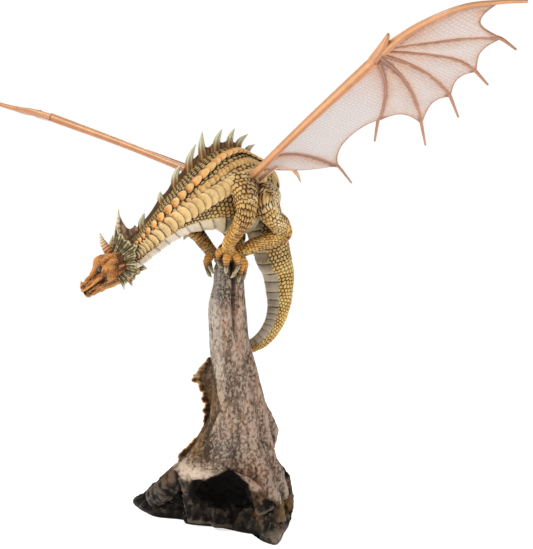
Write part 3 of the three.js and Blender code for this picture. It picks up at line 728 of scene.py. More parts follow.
def rock_shell(levels=136, sides=300):
    """The rock: its outline ring, drawn in towards its heart as it rises. Ledges come from a
    rounded stair in the height, and lumps and chips from noise that fades at the foot."""
    t = np.linspace(0, len(ROCK_STEPS) - 1, levels)
    step = catmull(ROCK_STEPS, t)
    ring = catmull(ROCK, np.linspace(0, len(ROCK), sides, endpoint=False), closed=True)
    reach = np.minimum(step[:, 1], 1.0)[:, None, None]
    flat = ROCK_HEART + (ring[None] - ROCK_HEART) * reach
    z = np.maximum(step[:, 0], 0)[:, None] + np.zeros((1, sides))
    p = np.dstack([flat, z])
    rise = smooth(z, 1.5, 16)
    ledge = np.sin(z * 0.34 + 3 * rough(p, 46, 2, 41))
    relief = rough(p, (22, 22, 13), 4, 42)
    out = unit(np.dstack([ring[None] - ROCK_HEART + 0 * flat, np.zeros(z.shape)]))
    push = (relief * 4.0 + ledge * 1.6 + rough(p, 6, 3, 44) * 1.5) * rise
    p = p + out * push[..., None]
    p[..., 2] += (rough(p, (26, 26, 11), 3, 43) * 4.5 + ledge * 1.0) * smooth(z, 9, 26)
    tone = np.clip(0.5 + 0.5 * relief + 0.2 * ledge, 0, 1)
    return dressed(shell(p), tone)


rock_part = rock_shell()
print("rock:", len(rock_part[0]), "points")

# %% [markdown]
# ## Joining the plinth
# The stump, roots and bark overlap, as a sculptor presses clay onto clay. Boolean unions make
# one skin of them, so no inner faces are left over. They want closed shapes, which all the
# shells here are.

# %% Join and cut


def combine(base, others, way):
    """base with each of the others joined to it or cut out of it, as one applied mesh."""
    for other in others:
        tool = base.modifiers.new("join", "BOOLEAN")
        tool.solver = "MANIFOLD"
        tool.operation = way
        tool.object = other
    depsgraph = bpy.context.evaluated_depsgraph_get()
    mesh = bpy.data.meshes.new_from_object(base.evaluated_get(depsgraph))
    base.modifiers.clear()
    base.data = mesh
    for other in others:
        bpy.data.objects.remove(other)
    mesh.shade_smooth()
    print(f"{base.name} {way.lower()}: {len(mesh.vertices)} points")
    return base


def one_shell(name, part):
    """A closed shell as a piece of its own."""
    points, faces, values = part
    return make_piece(name, points, outward(points, faces), values)


print("shapes to join:", 2 + len(root_parts))

# %% [markdown]
# ## Where the wood ends
# On the real casting the pinkish wood ends in a wavy line above the dark rock. The line decides
# three things here: the roof of the hollow, which shape is broken like rock, and which paint a
# place gets. It is drawn as the camera sees it, and levels out towards the back.

# %% The wood's lower edge
FRONT_LINE = [
    # millimetres to the right in the camera's view, height
    (-120, 92), (-86, 92), (-79, 68), (-72, 61), (-54, 57), (-37, 62), (-26, 68), (-10, 76),
    (3, 69), (15, 58), (30, 50), (45, 40), (60, 28), (90, 16),
]
BACK_LINE = 34.0
BACK_STARTS, BACK_FULL = 70, 110


def wood_line(p):
    """How high the pinkish wood ends above each place."""
    line = np.interp(p @ VIEW_SIDE, *zip(*FRONT_LINE))
    return line + (BACK_LINE - line) * smooth(p @ VIEW_AWAY, BACK_STARTS, BACK_FULL)


print("the wood ends at", wood_line(np.zeros((1, 3))).round(1), "mm above the middle")

# %% [markdown]
# ## The hollow
# Under the front root there is a dark hollow. A rough ball is cut away for it, turned to face
# the camera's side and pressed flat below, where the hollow has its floor. Held under the line
# where the wood ends, its top gives the mouth the pointed arch that the casting has.

# %% Cut the hollow
CAVE_CENTRE = np.array([11.0, -45.0, 40.0])
CAVE_RADII = np.array([42.0, 34.0, 38.0])
CAVE_TURN = math.radians(42)
CAVE_FLOOR = 25.0
CAVE_WAYS = np.array([[math.cos(CAVE_TURN), math.sin(CAVE_TURN), 0],
                      [-math.sin(CAVE_TURN), math.cos(CAVE_TURN), 0], [0, 0, 1]])


def cave_depth(p):
    """How deep inside the hollow's ball each place is: 1 at its centre, 0 on its skin."""
    return 1 - np.linalg.norm((p - CAVE_CENTRE) @ CAVE_WAYS.T / CAVE_RADII, axis=1)


def cave_shell():
    """The rough ball, turned, held under the wood's line above and flat below."""
    ball = ball_grid(80, 120, 0.03) * CAVE_RADII
    p = ball @ CAVE_WAYS + CAVE_CENTRE
    p = p + unit(ball) * (rough(p, 14, 3, 51) * 3.6)[..., None]
    roof = np.interp(p @ VIEW_SIDE, *zip(*FRONT_LINE)) + 0.9 * rough(p, 8, 2, 53)
    p[..., 2] = np.minimum(p[..., 2], roof)
    ground = CAVE_FLOOR + 3.5 * rough(p[..., :2] @ np.eye(2, 3), 11, 3, 52)
    p[..., 2] = np.maximum(p[..., 2], ground)
    return (*shell(p), {})


stump = one_shell("stump_with_roots", dressed(shell(stump_points), bark_relief, ends=(0.5, 0.3)))
stump = combine(stump, [one_shell(f"root_{i}", part) for i, part in enumerate(root_parts)]
                + [one_shell("bark_sheet", bark_part)], "UNION")
stump = combine(stump, [one_shell("cave_cut", cave_shell())], "DIFFERENCE")
rock = combine(one_shell("rock_base", rock_part), [one_shell("crag", root_shell(*CRAG))], "UNION")
rock = combine(rock, [one_shell("cave_cut", cave_shell())], "DIFFERENCE")

# %% [markdown]
# ## How far a place stands out
# Paint is brushed off the ridges and pools in the hollows, so the paint needs to know which is
# which. The Geometry node's pointiness knows only the nearest faces, so it is measured here:
# each point is compared with the average of a wider neighbourhood.

# %% Cavity map
NEIGHBOURHOOD = 14                # rounds of averaging on the plinth


def mesh_arrays(piece):
    """The points, normals and edges of a piece, in millimetres."""
    mesh = piece.data
    count = len(mesh.vertices)
    points, normals = np.empty(count * 3), np.empty(count * 3)
    edges = np.empty(len(mesh.edges) * 2, np.int32)
    mesh.vertices.foreach_get("co", points)
    mesh.vertices.foreach_get("normal", normals)
    mesh.edges.foreach_get("vertices", edges)
    return points.reshape(-1, 3) / MM, normals.reshape(-1, 3), edges.reshape(-1, 2)


def stand_out(piece, rounds):
    """How far each point stands proud of its neighbourhood, in millimetres: the distance along
    its normal to the place it has after being averaged with its neighbours some times. Returns
    that and the points."""
    points, normals, edges = mesh_arrays(piece)
    a, b = edges.T
    near = np.maximum(np.bincount(edges.ravel(), minlength=len(points)), 1)[:, None]
    soft = points.copy()
    for _ in range(rounds):
        total = np.stack([np.bincount(a, soft[b, k], len(points))
                          + np.bincount(b, soft[a, k], len(points)) for k in range(3)], axis=-1)
        soft = 0.5 * soft + 0.5 * total / near
    return ((points - soft) * normals).sum(1), points


print("points of the stump and the rock:", len(stump.data.vertices), len(rock.data.vertices))

# %% [markdown]
# ## Broken rock
# The rock and the foot of the stump are broken into small crags. Moving every point along its
# normal is what the Displace modifier does too. Here it is done at once on the arrays, so that
# the stump can be broken below the wood's edge alone.

# %% Crags


def in_hollow(p):
    """1 on the skin of the hollow and 0 elsewhere."""
    under = smooth(wood_line(p) + 2.5 - p[:, 2], 0, 2)
    return smooth(cave_depth(p), -0.14, -0.08) * under


def wood_above_rock(p):
    """1 on the pinkish wood and 0 on the dark rock, with a ragged edge between."""
    line = wood_line(p)
    above = smooth(p[:, 2] + 3.5 * rough(p, 9, 3, 64), line - 3, line + 3)
    return above * (1 - in_hollow(p))


def crags(p):
    """How far the broken rock stands out, in millimetres, fading at the foot."""
    ridges = 1 - 2 * np.abs(noise(p, (8, 8, 15), 70))
    return (1.7 * rough(p, 9, 3, 71) + 1.1 * ridges) * smooth(p[:, 2], 2, 9)


def roughen(piece, share):
    """Moves each point of a piece along its normal by the crags' height times a share."""
    points, normals, _ = mesh_arrays(piece)
    points = points + normals * (crags(points) * share(points))[:, None]
    piece.data.vertices.foreach_set("co", (points * MM).ravel())
    piece.data.update()


roughen(stump, lambda p: 1 - wood_above_rock(p))
roughen(rock, lambda p: np.ones(len(p)))
print("crags at the front of the rock:", crags(np.array([[0.0, -40.0, 20.0]])).round(2), "mm")

# %% [markdown]
# ## Paint on the plinth
# The stump is grey brown with a pinkish beige brushed over the strands, with a painted highlight on its
# upper left and on the lip, painted shade under the feet, below the claws and in the bark's crease,
# and reddish beside the hollow. The rock is nearly black brown with rust and moss, a painted highlight at
# its foot and painted shade, near black, in the hollow. Each is a base colour with dabs and patches laid
# over it, as a painter lays them, and every dab has a place, a size and a strength.

# %% Colours of wood and rock
WOOD_TONES = {
    "grey": colour(112, 94, 78), "pink": colour(166, 134, 112), "brown": colour(74, 58, 46),
    "shade_under_feet": colour(66, 52, 42), "highlight_upper_left": colour(190, 184, 172),
    "shade_and_stain": colour(50, 38, 30), "dish": colour(92, 82, 74), "red": colour(132, 92, 66),
    "lip": colour(226, 204, 178),
}
ROCK_TONES = {
    "black": colour(26, 22, 18), "grey": colour(62, 55, 47), "proud": colour(98, 86, 74),
    "rust": colour(110, 76, 50), "moss": colour(128, 98, 44), "highlight_at_foot": colour(168, 150, 132),
    "hollow": colour(8, 6, 5),
}


def wood_colours(p):
    """Grey brown and pinkish beige in patches, with streaks, painted shade, painted highlights and other
    dabs.
    """
    tone, right, height = WOOD_TONES, p @ VIEW_SIDE, p[:, 2]
    patch = smooth(rough(p, (12, 12, 60), 3, 61) + 0.35 * rough(p, 6, 2, 62), -0.7, 0.7)
    streaks = smooth(rough(p, (10, 10, 34), 3, 65), 0.15, 0.7)
    return coats(
        blend(tone["grey"], tone["pink"], patch * (0.4 + 0.6 * smooth(height, 60, 130))),
        (tone["brown"], streaks * 0.5),
        # painted shade on the stump's top, under the dragon's feet and body
        (tone["shade_under_feet"], smooth(height, 262, 312) * 0.7),
        # a painted highlight on the stump's upper left, where the light falls
        (tone["highlight_upper_left"], smooth(-right, 12, 28) * smooth(height, 150, 200) * 0.6),
        # painted shade on the trunk just below the right hand's claws
        (tone["shade_and_stain"], dab(right, -20, 9) * dab(height, 276, 20) * 0.7),
        (tone["dish"], dab(right, -14, 26) * dab(height, 98, 15) * 0.7),
        (tone["red"], dab(right, 22, 24) * dab(height, 70, 22) * 0.7),
        # the pale lip at the left of the base, brightened further by a painted highlight
        (tone["lip"], dab(right, -58, 26) * dab(height, 70, 10) * 0.8))


def rock_colours(p, proud):
    """Near black brown, greyer where it stands out, rusty and mossy patches, a painted highlight and
    shade.
    """
    tone, right, height = ROCK_TONES, p @ VIEW_SIDE, p[:, 2]
    rust = smooth(rough(p, 12, 2, 67), 0.1, 0.6) * smooth(right, -10, 30)
    edge = smooth(-right, 66, 90) * smooth(height, 40, 60)
    return coats(
        blend(tone["black"], tone["grey"], smooth(rough(p, 13, 4, 63), -0.4, 0.7)),
        (tone["proud"], smooth(proud, 0.3, 1.6) * 0.45),
        (tone["rust"], np.maximum(rust * 0.5, edge * 0.6)),
        (tone["moss"], dab(right, 56, 9) * dab(height, 26, 10) * 0.7),
        # a painted highlight on the rock's foot at the front
        (tone["highlight_at_foot"], dab(right, 46, 10) * dab(height, 6, 7) * 0.6),
        # painted shade: the inside of the hollow is painted near black
        (tone["hollow"], in_hollow(p) * smooth(height, 24, 40) * 0.95))


def stony(p, proud, grit):
    """The rock's relief value: what stands out, with grit over it, and flatter in the hollow."""
    return np.clip(0.5 + proud * 0.3 + grit * rough(p, 4, 2, 66), 0, 1) * (1 - 0.3 * in_hollow(p))


def speckle(p):
    """Small pits: 0 in most places, up to 1 inside a pit."""
    return smooth(noise(p, 1.9, 68), 0.25, 0.8) + 0.6 * smooth(noise(p, 3.4, 69), 0.4, 0.85)


print(len(WOOD_TONES), "wood colours and", len(ROCK_TONES), "rock colours")

# %% Paint the stump
BARK_TONES = {
    "deep": colour(78, 54, 32), "gilt": colour(196, 150, 86), "orange": colour(214, 138, 58),
    "crease_shade": colour(44, 30, 20), "rim": colour(224, 184, 128), "fold": colour(52, 38, 26),
}
CREASE = [
    # height, millimetres to the right in the camera's view where the torn bark meets the stump
    (60, -62), (86, -53), (106, -37), (143, -20), (170, -25), (202, -31),
]
proud, p = stand_out(stump, NEIGHBOURHOOD)
right, height = p @ VIEW_SIDE, p[:, 2]
crease = np.interp(height, *zip(*CREASE))
top_fades = smooth(206 - height, 0, 8)
fin = smooth(-right, 29, 38) * smooth(height, 74, 92) * smooth(216 - height, 0, 20)
torn = smooth(crease - right, 0, 1.5) * smooth(height, 100, 125) * top_fades
bark = np.maximum(fin, torn)
gilt = coats(blend(BARK_TONES["deep"], BARK_TONES["gilt"], smooth(proud, -0.5, 1.2)),
             (BARK_TONES["orange"], smooth(proud, 0.9, 2.0)))
lit = smooth(height, 84, 100)
paint = coats(
    wood_colours(p),
    (gilt, bark * 0.85),
    # painted shade in the crease where the torn bark meets the stump
    (BARK_TONES["crease_shade"], dab(right, crease - 2, 2.2) * lit * top_fades * 0.6),
    (BARK_TONES["rim"], dab(right, crease + 2.2, 1.8) * lit * smooth(190 - height, 0, 8) * 0.3),
    # painted shade in the crease between the torn bark fin and the trunk
    (BARK_TONES["fold"],
     dab(right, -36, 8) * smooth(height, 72, 92) * smooth(150 - height, 0, 22) * 0.75))
wood = wood_above_rock(p)
relief = np.clip(fibres(p) + proud * 0.35 - 0.3 * speckle(p), 0, 1.1) * (1 - 0.25 * bark)
relief = relief * wood + (1 - wood) * stony(p, proud, 0.25)
paint = blend(rock_colours(p, proud), paint, wood)
set_values(stump.data, {"relief": relief, "paint": rgba(paint)})
print("one strand in twenty stands out by", np.percentile(proud, 95).round(2), "mm or more")

# %% Paint the rock
proud, p = stand_out(rock, NEIGHBOURHOOD)
set_values(rock.data, {"relief": stony(p, proud, 0.3), "paint": rgba(rock_colours(p, proud))})
print("one place in twenty stands out by", np.percentile(proud, 95).round(2), "mm or more")

# %% Finish the plinth
bark_paint = painted("bark", colour(54, 39, 29), colour(222, 202, 184), 0.8, 0.35, 0.5, 620.0, 0.5)
rock_paint = painted("rock", colour(14, 11, 9), colour(128, 114, 100), 0.8, 0.3, 0.4, 420.0, 0.8,
                     {"Specular IOR Level": 0.05})
for piece, material in ((stump, bark_paint), (rock, rock_paint)):
    piece.data.materials.clear()
    piece.data.materials.append(material)
    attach(piece, "root")
    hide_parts("plinth")
middles = np.empty(len(stump.data.polygons) * 3)
stump.data.polygons.foreach_get("center", middles)
rocky = wood_above_rock(middles.reshape(-1, 3) / MM) < 0.5
stump.data.materials.append(rock_paint)
stump.data.polygons.foreach_set("material_index", rocky.astype(np.int32))
print("plinth painted,", int(rocky.sum()), "faces of the stump as rock")

# %% [markdown]
# ## The body
# The body is one long oval skin from the nape to the tip of the tail. It could be sculpted from
# a ball, but a line of stations is easier to correct, one width or height at a time. The skin
# is made as two pieces, the neck with the trunk and the tail, and each has fine faces.

# %% Body sizes
SPINE = [
    # place, half width, half height, way to the back
    ((-84, -113, 315), 12, 14, (-0.45, -0.45, 0.77)),
    ((-68, -102, 327), 14.5, 16, (-0.45, -0.45, 0.77)),
    ((-55, -91, 341), 17, 17, (-0.45, -0.45, 0.77)),
    ((-32, -72, 368), 22, 24, (-0.4, -0.45, 0.8)),
    ((-13, -47, 388), 28, 38, (-0.25, -0.4, 0.88)),
    ((-4, -23, 397), 33, 51, (-0.1, -0.2, 0.97)),
    ((0, 0, 401), 35, 53, (0, 0, 1)),
    ((0, 22, 403), 32, 38, (0, 0.25, 0.97)),
    ((0, 29, 393), 26, 27, (0, 0.75, 0.66)),
    ((0, 42, 366), 22.5, 24, (-0.12, 0.98, 0.15)),
    ((0, 55, 334), 22, 22.5, (-0.29, 0.95, 0)),
    ((0, 67, 306), 19.5, 19.5, (-0.29, 0.95, 0)),
    ((0, 70, 287), 17, 17, (-0.29, 0.95, 0)),
    ((0, 70, 266), 14, 14, (-0.27, 0.93, -0.2)),
    ((0, 62, 244), 11.5, 11.5, (-0.4, 0.8, -0.4)),
    ((-3, 46, 224), 9.5, 9.5, (-0.6, 0.65, -0.45)),
    ((-22, 37, 211), 7.5, 7.5, (-0.65, 0.6, -0.45)),
    ((-38, 26, 208), 5.5, 5.5, (-0.6, 0.3, -0.7)),
    ((-43, 12, 212), 3.5, 3.5, (-0.8, 0, -0.6)),
    ((-41, 1, 218), 1.2, 1.2, (-0.9, -0.3, -0.3)),
]
BODY_END = 9.4
LEVELS = np.arange(len(SPINE))
GIRTH = np.array([PI * (s[1] + s[2]) for s in SPINE])
TILE = np.interp(LEVELS, [0, 3, 6, 12, 15, 19], [2.7, 3.5, 4.8, 4.8, 3.2, 1.4])
print("greatest girth:", GIRTH.max().round(1), "mm, biggest small scale:", TILE.max(), "mm")

# %% [markdown]
# ## Scales and plates as relief
# Thousands of modelled scales would be too heavy, and a bump map alone gives a smooth outline.
# So the scales are relief on the skin itself, worked out in two numbers: how far along the body
# a place is, counted in scales, and its angle from the back. The belly has broad plates.

# %% Tiles and plates


def tiles(u, v):
    """Scales in staggered rows. u counts rows towards the tail and v counts scales round the
    body; each is a rounded six-sided cell, wandering a little, with a dark gap round it.
    Returns the height: 0 in a gap to 1 near a scale's free end."""
    wander = np.stack(np.broadcast_arrays(u, v, 0.0), axis=-1)
    u = u + 0.22 * noise(wander, 1.3, 55)
    v = v + 0.22 * noise(wander, 1.3, 56)
    best = np.full(np.shape(u), 9.0)
    second = np.full(np.shape(u), 9.0)
    tilt = np.zeros(np.shape(u))
    for step in (-1, 0, 1):
        row = np.round(u) + step
        across = v + 0.5 * (row % 2)
        for aside in (-0.5, 0.5):
            y = across - (np.floor(across) + 0.5 + aside)
            x = u - row
            far = np.hypot(x * 0.95, y)
            closer = far < best
            second = np.where(closer, best, np.minimum(second, far))
            tilt = np.where(closer, x, tilt)
            best = np.minimum(best, far)
    inside = smooth(second - best, 0.02, 0.3)
    return inside * np.clip(0.8 + 0.35 * tilt, 0, 1)


def plates(u):
    """Broad plates across the belly: each rises towards its free end and drops off sharply."""
    x = u % 1
    return np.where(x < 0.86, 0.3 + 0.7 * (x / 0.86) ** 0.7, np.clip((1 - x) / 0.14, 0, 1))


def run_along(stations, t, size):
    """How many steps of the given size lie between the first t and each t along the line."""
    fine = np.linspace(t.min(), t.max(), 1200)
    centre = catmull([s[0] for s in stations], fine)
    far = np.linalg.norm(np.diff(centre, axis=0), axis=1)
    steps = far / np.interp((fine[1:] + fine[:-1]) / 2, size[0], size[1])
    return np.interp(t, fine, np.concatenate([[0], np.cumsum(steps)]))


print("rows of small scales:", run_along(SPINE, LEVELS * 1.0, (LEVELS, TILE))[-1].round(1))

# %% Body colours
BODY_TONES = {
    "gold": colour(186, 142, 74), "dark_back": colour(70, 46, 24), "pale": colour(222, 200, 150),
    "tail": colour(190, 142, 58), "tail_light": colour(226, 190, 106),
    "shadow": colour(84, 56, 30), "nape": colour(92, 62, 34), "seat_shade": colour(84, 58, 32),
    "belly": colour(206, 188, 150), "tail_belly": colour(186, 174, 156),
    "throat": colour(214, 200, 180), "seat_belly": colour(92, 72, 50),
}
BELLY_EDGE = 122                  # degrees from the back where the belly plates start
LEFT_BELLY_EDGE = [(0, 122), (8.6, 122), (9.4, 164), (10.6, 164), (11.3, 149), (19, 151)]
print(len(BODY_TONES), "body colours")

# %% Body skin


def body_part(start, end, rings, sides):
    """The body's skin from start to end: the oval of the stations, flattened below, with tiles
    on back and flanks and plates on the belly, which lies further to the right on the tail."""
    tone = BODY_TONES
    t1 = even_steps(SPINE, start, end, rings)
    t = t1[:, None] + np.zeros((1, sides))
    angle = ring_angles(rings, sides)
    line = follow(SPINE, t)
    from_nape = np.concatenate([[0], t1])
    small_rows = run_along(SPINE, from_nape, (LEVELS, TILE))[1:]
    plate_rows = run_along(SPINE, from_nape, (LEVELS, np.clip(GIRTH * 0.125, 2.5, 15)))[1:]
    scale_size = np.interp(t, LEVELS, TILE)
    small = tiles(small_rows[:, None] + 0 * t,
                  angle / (2 * PI) * np.interp(t, LEVELS, GIRTH) / scale_size)
    broad = plates(plate_rows[:, None] + 0.05 * np.cos(angle))
    left_edge = np.interp(t, *zip(*LEFT_BELLY_EDGE))
    edge = np.radians(np.where(angle > 0, left_edge, BELLY_EDGE))
    belly = smooth(np.abs(angle), edge, edge + 0.14)
    raised = (small - 0.6) * 0.3 * scale_size * (1 - belly)
    raised = raised + belly * (broad - 0.75) * np.clip(scale_size * 0.55, 0.5, 2.6)
    flat_below = 1 + 0.04 * np.sin(angle) ** 2 - 0.05 * np.maximum(-np.cos(angle), 0) ** 3
    points = on_skin(line, angle, raised)
    points = line[0] + (points - line[0]) * flat_below[..., None]
    points += unit(points - line[0]) * (rough(points, 15, 2, 71) * 0.9
                                        * np.clip(scale_size / 5, 0.2, 1))[..., None]
    back = smooth(np.cos(angle), 0.35, 0.8)
    pale = smooth(rough(points, 18, 2, 72) + 0.35 * noise(points, 3.4, 74), -0.1, 0.6)
    tail_gold = blend(tone["tail"], tone["tail_light"], smooth(rough(points, 9, 2, 73), -0.3, 0.5))
    shadow = smooth(rough(points, 26, 2, 75), 0.15, 0.7) * smooth(9.6 - t, 0, 1) * (1 - belly)
    # painted shade on scales and belly where the body rests on the stump
    seat_shade = dab(t, 10.25, 0.4)
    plate_paint = coats(blend(tone["belly"], tone["tail_belly"], smooth(t, 9, 12)),
                        (tone["throat"], smooth(4.5 - t, 0, 1.5)),
                        (tone["seat_belly"], seat_shade * 0.75))
    paint = coats(blend(tone["gold"], tone["dark_back"], 0.85 * back * (1 - smooth(t, 8.6, 9.4))),
                  (tone["pale"], pale * 0.75 * (1 - back)),
                  (tail_gold, smooth(t, 8.8, 10.5) * 0.8),
                  (tone["shadow"], shadow * 0.8),
                  (tone["nape"], smooth(2.6 - t, 0, 1.2) * 0.75),
                  (tone["seat_shade"], seat_shade * 0.7),
                  (plate_paint, belly))
    relief = np.clip(small * 1.1, 0, 1) * (1 - belly) + belly * (0.34 + 0.42 * broad)
    return dressed(shell(points), relief, paint, caps=(tone["belly"], tone["belly"]))


print("points in a coarse body:", len(body_part(0, BODY_END, 20, 16)[0]))

# %% Finish a piece


def finish(name, parts, material, node="dragon", cavity=0.0):
    """One piece from several shells, with its material, its ride and the node it stands for.
    With a cavity share, its relief value comes in part from how far each place stands out."""
    points, faces, values = gather(parts)
    piece = make_piece(name, points, faces, values)
    if cavity:
        proud = stand_out(piece, 10)[0]
        set_values(piece.data, {"relief": values["relief"] * (1 - cavity)
                                + cavity * np.clip(0.7 + 0.9 * proud, 0, 1.1)})
    piece.data.materials.append(material)
    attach(piece, "root")
    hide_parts(node)
    return piece


finish("neck_and_body", [body_part(0, BODY_END, 296, 264)], scale_paint)
finish("tail", [body_part(BODY_END - 0.1, LEVELS[-1], 316, 122)], scale_paint)

# %% [markdown]
# ## Limbs
# The two arms and two legs are oval tubes from the shoulder or hip to the palm. Their scales
# are bands that wrap round the limb, light on the edge and dark between, so the forearms look
# striped. The body's tiles serve here too, with the stripes blended over them.

# %% Limb sizes
LIMBS = {
    "left_arm": ([((22, -18, 410), 17, 20), ((34, -22, 397), 15, 17), ((42, -27, 381), 11.5, 13),
                  ((42, -30, 368), 10, 11), ((31, -32, 354), 9, 9.5), ((19, -33, 340), 7.5, 7.5),
                  ((13, -29, 330), 8.5, 6.5), ((9, -24, 322), 7, 5.5)], (0, -1, 0)),
    "right_arm": ([((-22, -18, 404), 17, 20), ((-33, -21, 388), 14, 16), ((-41, -27, 371), 11, 12),
                   ((-43, -31, 357), 9.5, 10), ((-35, -29, 346), 8.5, 9), ((-26, -26, 335), 7.5, 8),
                   ((-20, -21, 325), 8, 6.5)], (0, -1, 0)),
    "left_leg": ([((16, 26, 392), 17, 18), ((31, 13, 395), 17, 19), ((41, -1, 388), 14, 15),
                  ((43, 10, 374), 13, 13), ((41, 29, 361), 11.5, 11.5), ((37, 37, 351), 10.5, 10.5),
                  ((29, 19, 343), 9, 9.5), ((19, 1, 335), 8, 8.5), ((10, -11, 328), 7, 7)],
                 (1, 0, 0)),
    "right_leg": ([((-16, 26, 392), 17, 18), ((-31, 13, 392), 17, 19), ((-41, 0, 384), 14, 15),
                   ((-43, 10, 371), 13, 13), ((-41, 27, 359), 11.5, 11.5), ((-38, 33, 348), 10.5, 10.5),
                   ((-34, 17, 338), 9, 9.5), ((-29, 2, 328), 8, 8.5), ((-24, -8, 319), 7.5, 7.5)],
                  (1, 0, 0)),
}
LIMB_TILES = 20
BAND = 4.6
LIMB_TONES = {
    "gold": colour(190, 146, 80), "cream": colour(234, 212, 166), "ochre": colour(192, 136, 60),
    "straw": colour(230, 186, 108), "rust": colour(142, 84, 38), "under": colour(96, 58, 28),
    "far_side_shade": colour(98, 66, 36),
}
print(len(LIMBS), "limbs")

# %% Limb skins


def limb_part(name, rings=146, sides=70):
    """A limb's skin: tiles as wide as a twentieth of its girth on the thick part, and stripes
    across it, a band apart, towards the hand or foot."""
    tone = LIMB_TONES
    stations, top = LIMBS[name]
    last = len(stations) - 1
    t1 = even_steps(stations, 0, last, rings)
    t = t1[:, None] + np.zeros((1, sides))
    angle = ring_angles(rings, sides)
    bands = run_along(stations, t1, ([0, last], [BAND * 1.15, BAND * 0.8]))[:, None]
    lower = smooth(t, last * 0.42, last * 0.55)
    striped = lower * (0.4 if "leg" in name else 1.0)
    wander = np.dstack([bands + 0 * t, angle * 2, 0 * t])
    wave = 0.12 * np.sin(angle * 3) + 0.25 * noise(wander, 1.1, 84)
    stripe = np.abs(np.sin((bands + wave) * PI)) ** 0.6
    high = tiles(bands + 0 * t, angle / (2 * PI) * LIMB_TILES)
    high = high * (1 - 0.6 * striped) + stripe * 0.5 * striped
    muscle = 1.3 * np.sin(t * PI * 1.1) * np.sin(angle * 2 + t) * smooth(last - t, 0, 2)
    line = follow(stations, t, top)
    points = on_skin(line, angle, (high - 0.6) * 1.3 + muscle)
    golden = blend(tone["ochre"], tone["straw"], smooth(rough(points, 8, 2, 82), -0.4, 0.5))
    # painted shade on the underside of the lower limbs
    below = smooth(-unit(points - line[0])[..., 2], 0.1, 0.9)
    # painted shade on the far limbs, towards the hand and foot
    far_side_shade = smooth(t, last * 0.3, last) * (0.8 if "right" in name else 0.0)
    paint = coats(blend(tone["gold"], tone["cream"], smooth(rough(points, 12, 2, 81), -0.3, 0.5)),
                  (golden, lower),
                  (tone["rust"], smooth(rough(points, 12, 2, 86), 0.05, 0.6) * 0.65),
                  (tone["under"], below * 0.6 * smooth(t, last * 0.3, last * 0.6)),
                  (tone["far_side_shade"], far_side_shade))
    relief = np.clip(high * 1.1 - 0.05, 0, 1)
    return dressed(shell(points), relief, paint, caps=[paint[0, 0]] * 2)


finish("limbs", [limb_part(name) for name in LIMBS], scale_paint)

# %% [markdown]
# ## Tubes with their own relief and colour
# Fingers, claws, spikes, horns, the head and the wing bones are all tubes, and differ in their
# stations, their relief and their colour. So one function makes the tube, and takes two small
# functions that give the relief and the colour of each place.

# %% Tubes


def round_stations(places, radii):
    """Stations of a round tube: places, each with one radius for both half sizes."""
    return [(place, radius, radius) for place, radius in zip(places, radii)]


def tube(stations, top, rings, sides, relief_of, paint_of):
    """A closed tube along stations. relief_of gives the height in mm and a 0 to 1 tone from t
    and the angle, and paint_of gives the colour."""
    t = even_steps(stations, 0.0, len(stations) - 1, rings)[:, None] + np.zeros((1, sides))
    angle = ring_angles(rings, sides)
    raised, tone = relief_of(t, angle)
    skin = shell(on_skin(follow(stations, t, top), angle, raised))
    paint = paint_of(t, angle) + np.zeros((rings, sides, 3))
    return dressed(skin, tone + 0 * t, paint, (0.6, 0.6), (paint[0, 0], paint[-1, 0]))


print("stations of a test tube:", round_stations(["foot", "tip"], [2, 1]))

# %% [markdown]
# ## Fingers and claws
# Each finger grips the stump's top: a short tube with a knuckle, and then a pale hooked claw.
# The claw starts inside the finger's end, so that no gap shows where they meet.

# %% Fingers and claws
DIGITS = [
    # base, knuckle, pad and the tip of the claw
    [(14, -30, 333), (6, -36, 329), (2, -34, 320), (3, -28, 311)],
    [(12, -27, 330), (15, -33, 322), (13, -32, 313), (9, -28, 305)],
    [(15, -25, 331), (21, -23, 323), (20, -19, 315), (12, -21, 304)],
    [(10, -12, 327), (13, -13, 318), (12, -15, 309), (6, -19, 299)],
    [(9, -8, 326), (11, -6, 314), (9, -7, 302), (6, -9, 292)],
    [(8, -4, 326), (8, 2, 315), (6, 3, 304), (3, 2, 294)],
    [(-22, -23, 329), (-20, -31, 321), (-16, -32, 313), (-12, -28, 304)],
    [(-23, -21, 327), (-27, -26, 318), (-26, -26, 309), (-21, -24, 300)],
    [(-24, -6, 319), (-28, -8, 309), (-28, -9, 300), (-24, -11, 290)],
    [(-24, -2, 319), (-29, 4, 308), (-29, 6, 298), (-25, 6, 288)],
]
FINGER_RADII, CLAW_RADII = (4.4, 4.2, 3.2), (2.4, 3.0, 2.0, 0.4)
HORN_TOP = (0.3, 0.9, 0.1)        # the way up of fingers, claws and horns


def finger_relief(t, angle):
    """Bands across the finger, and a swelling at the knuckle."""
    band = np.abs(np.sin(t * PI * 3.2)) ** 0.6
    return (band - 0.6) * 0.7 + 0.7 * dab(t, 1, 0.25), 0.35 + 0.4 * band


def finger_colour(t, angle):
    """Gold at the knuckle, and darker towards the claw."""
    gold = blend(colour(206, 158, 78), colour(112, 72, 34), smooth(t, 0.9, 2.0))
    return blend(gold, colour(196, 112, 48), dab(t, 1.1, 0.4) * 0.5)


def claw_relief(t, angle):
    """Smooth horn with faint ridges along it."""
    return 0.15 * np.cos(angle * 2), 0.75 + 0.1 * np.cos(angle * 5)


def claw_colour(t, angle):
    """Dark at the root and pale at the tip."""
    return blend(colour(62, 42, 24), colour(188, 168, 122), smooth(t, 0.8, 2.8))


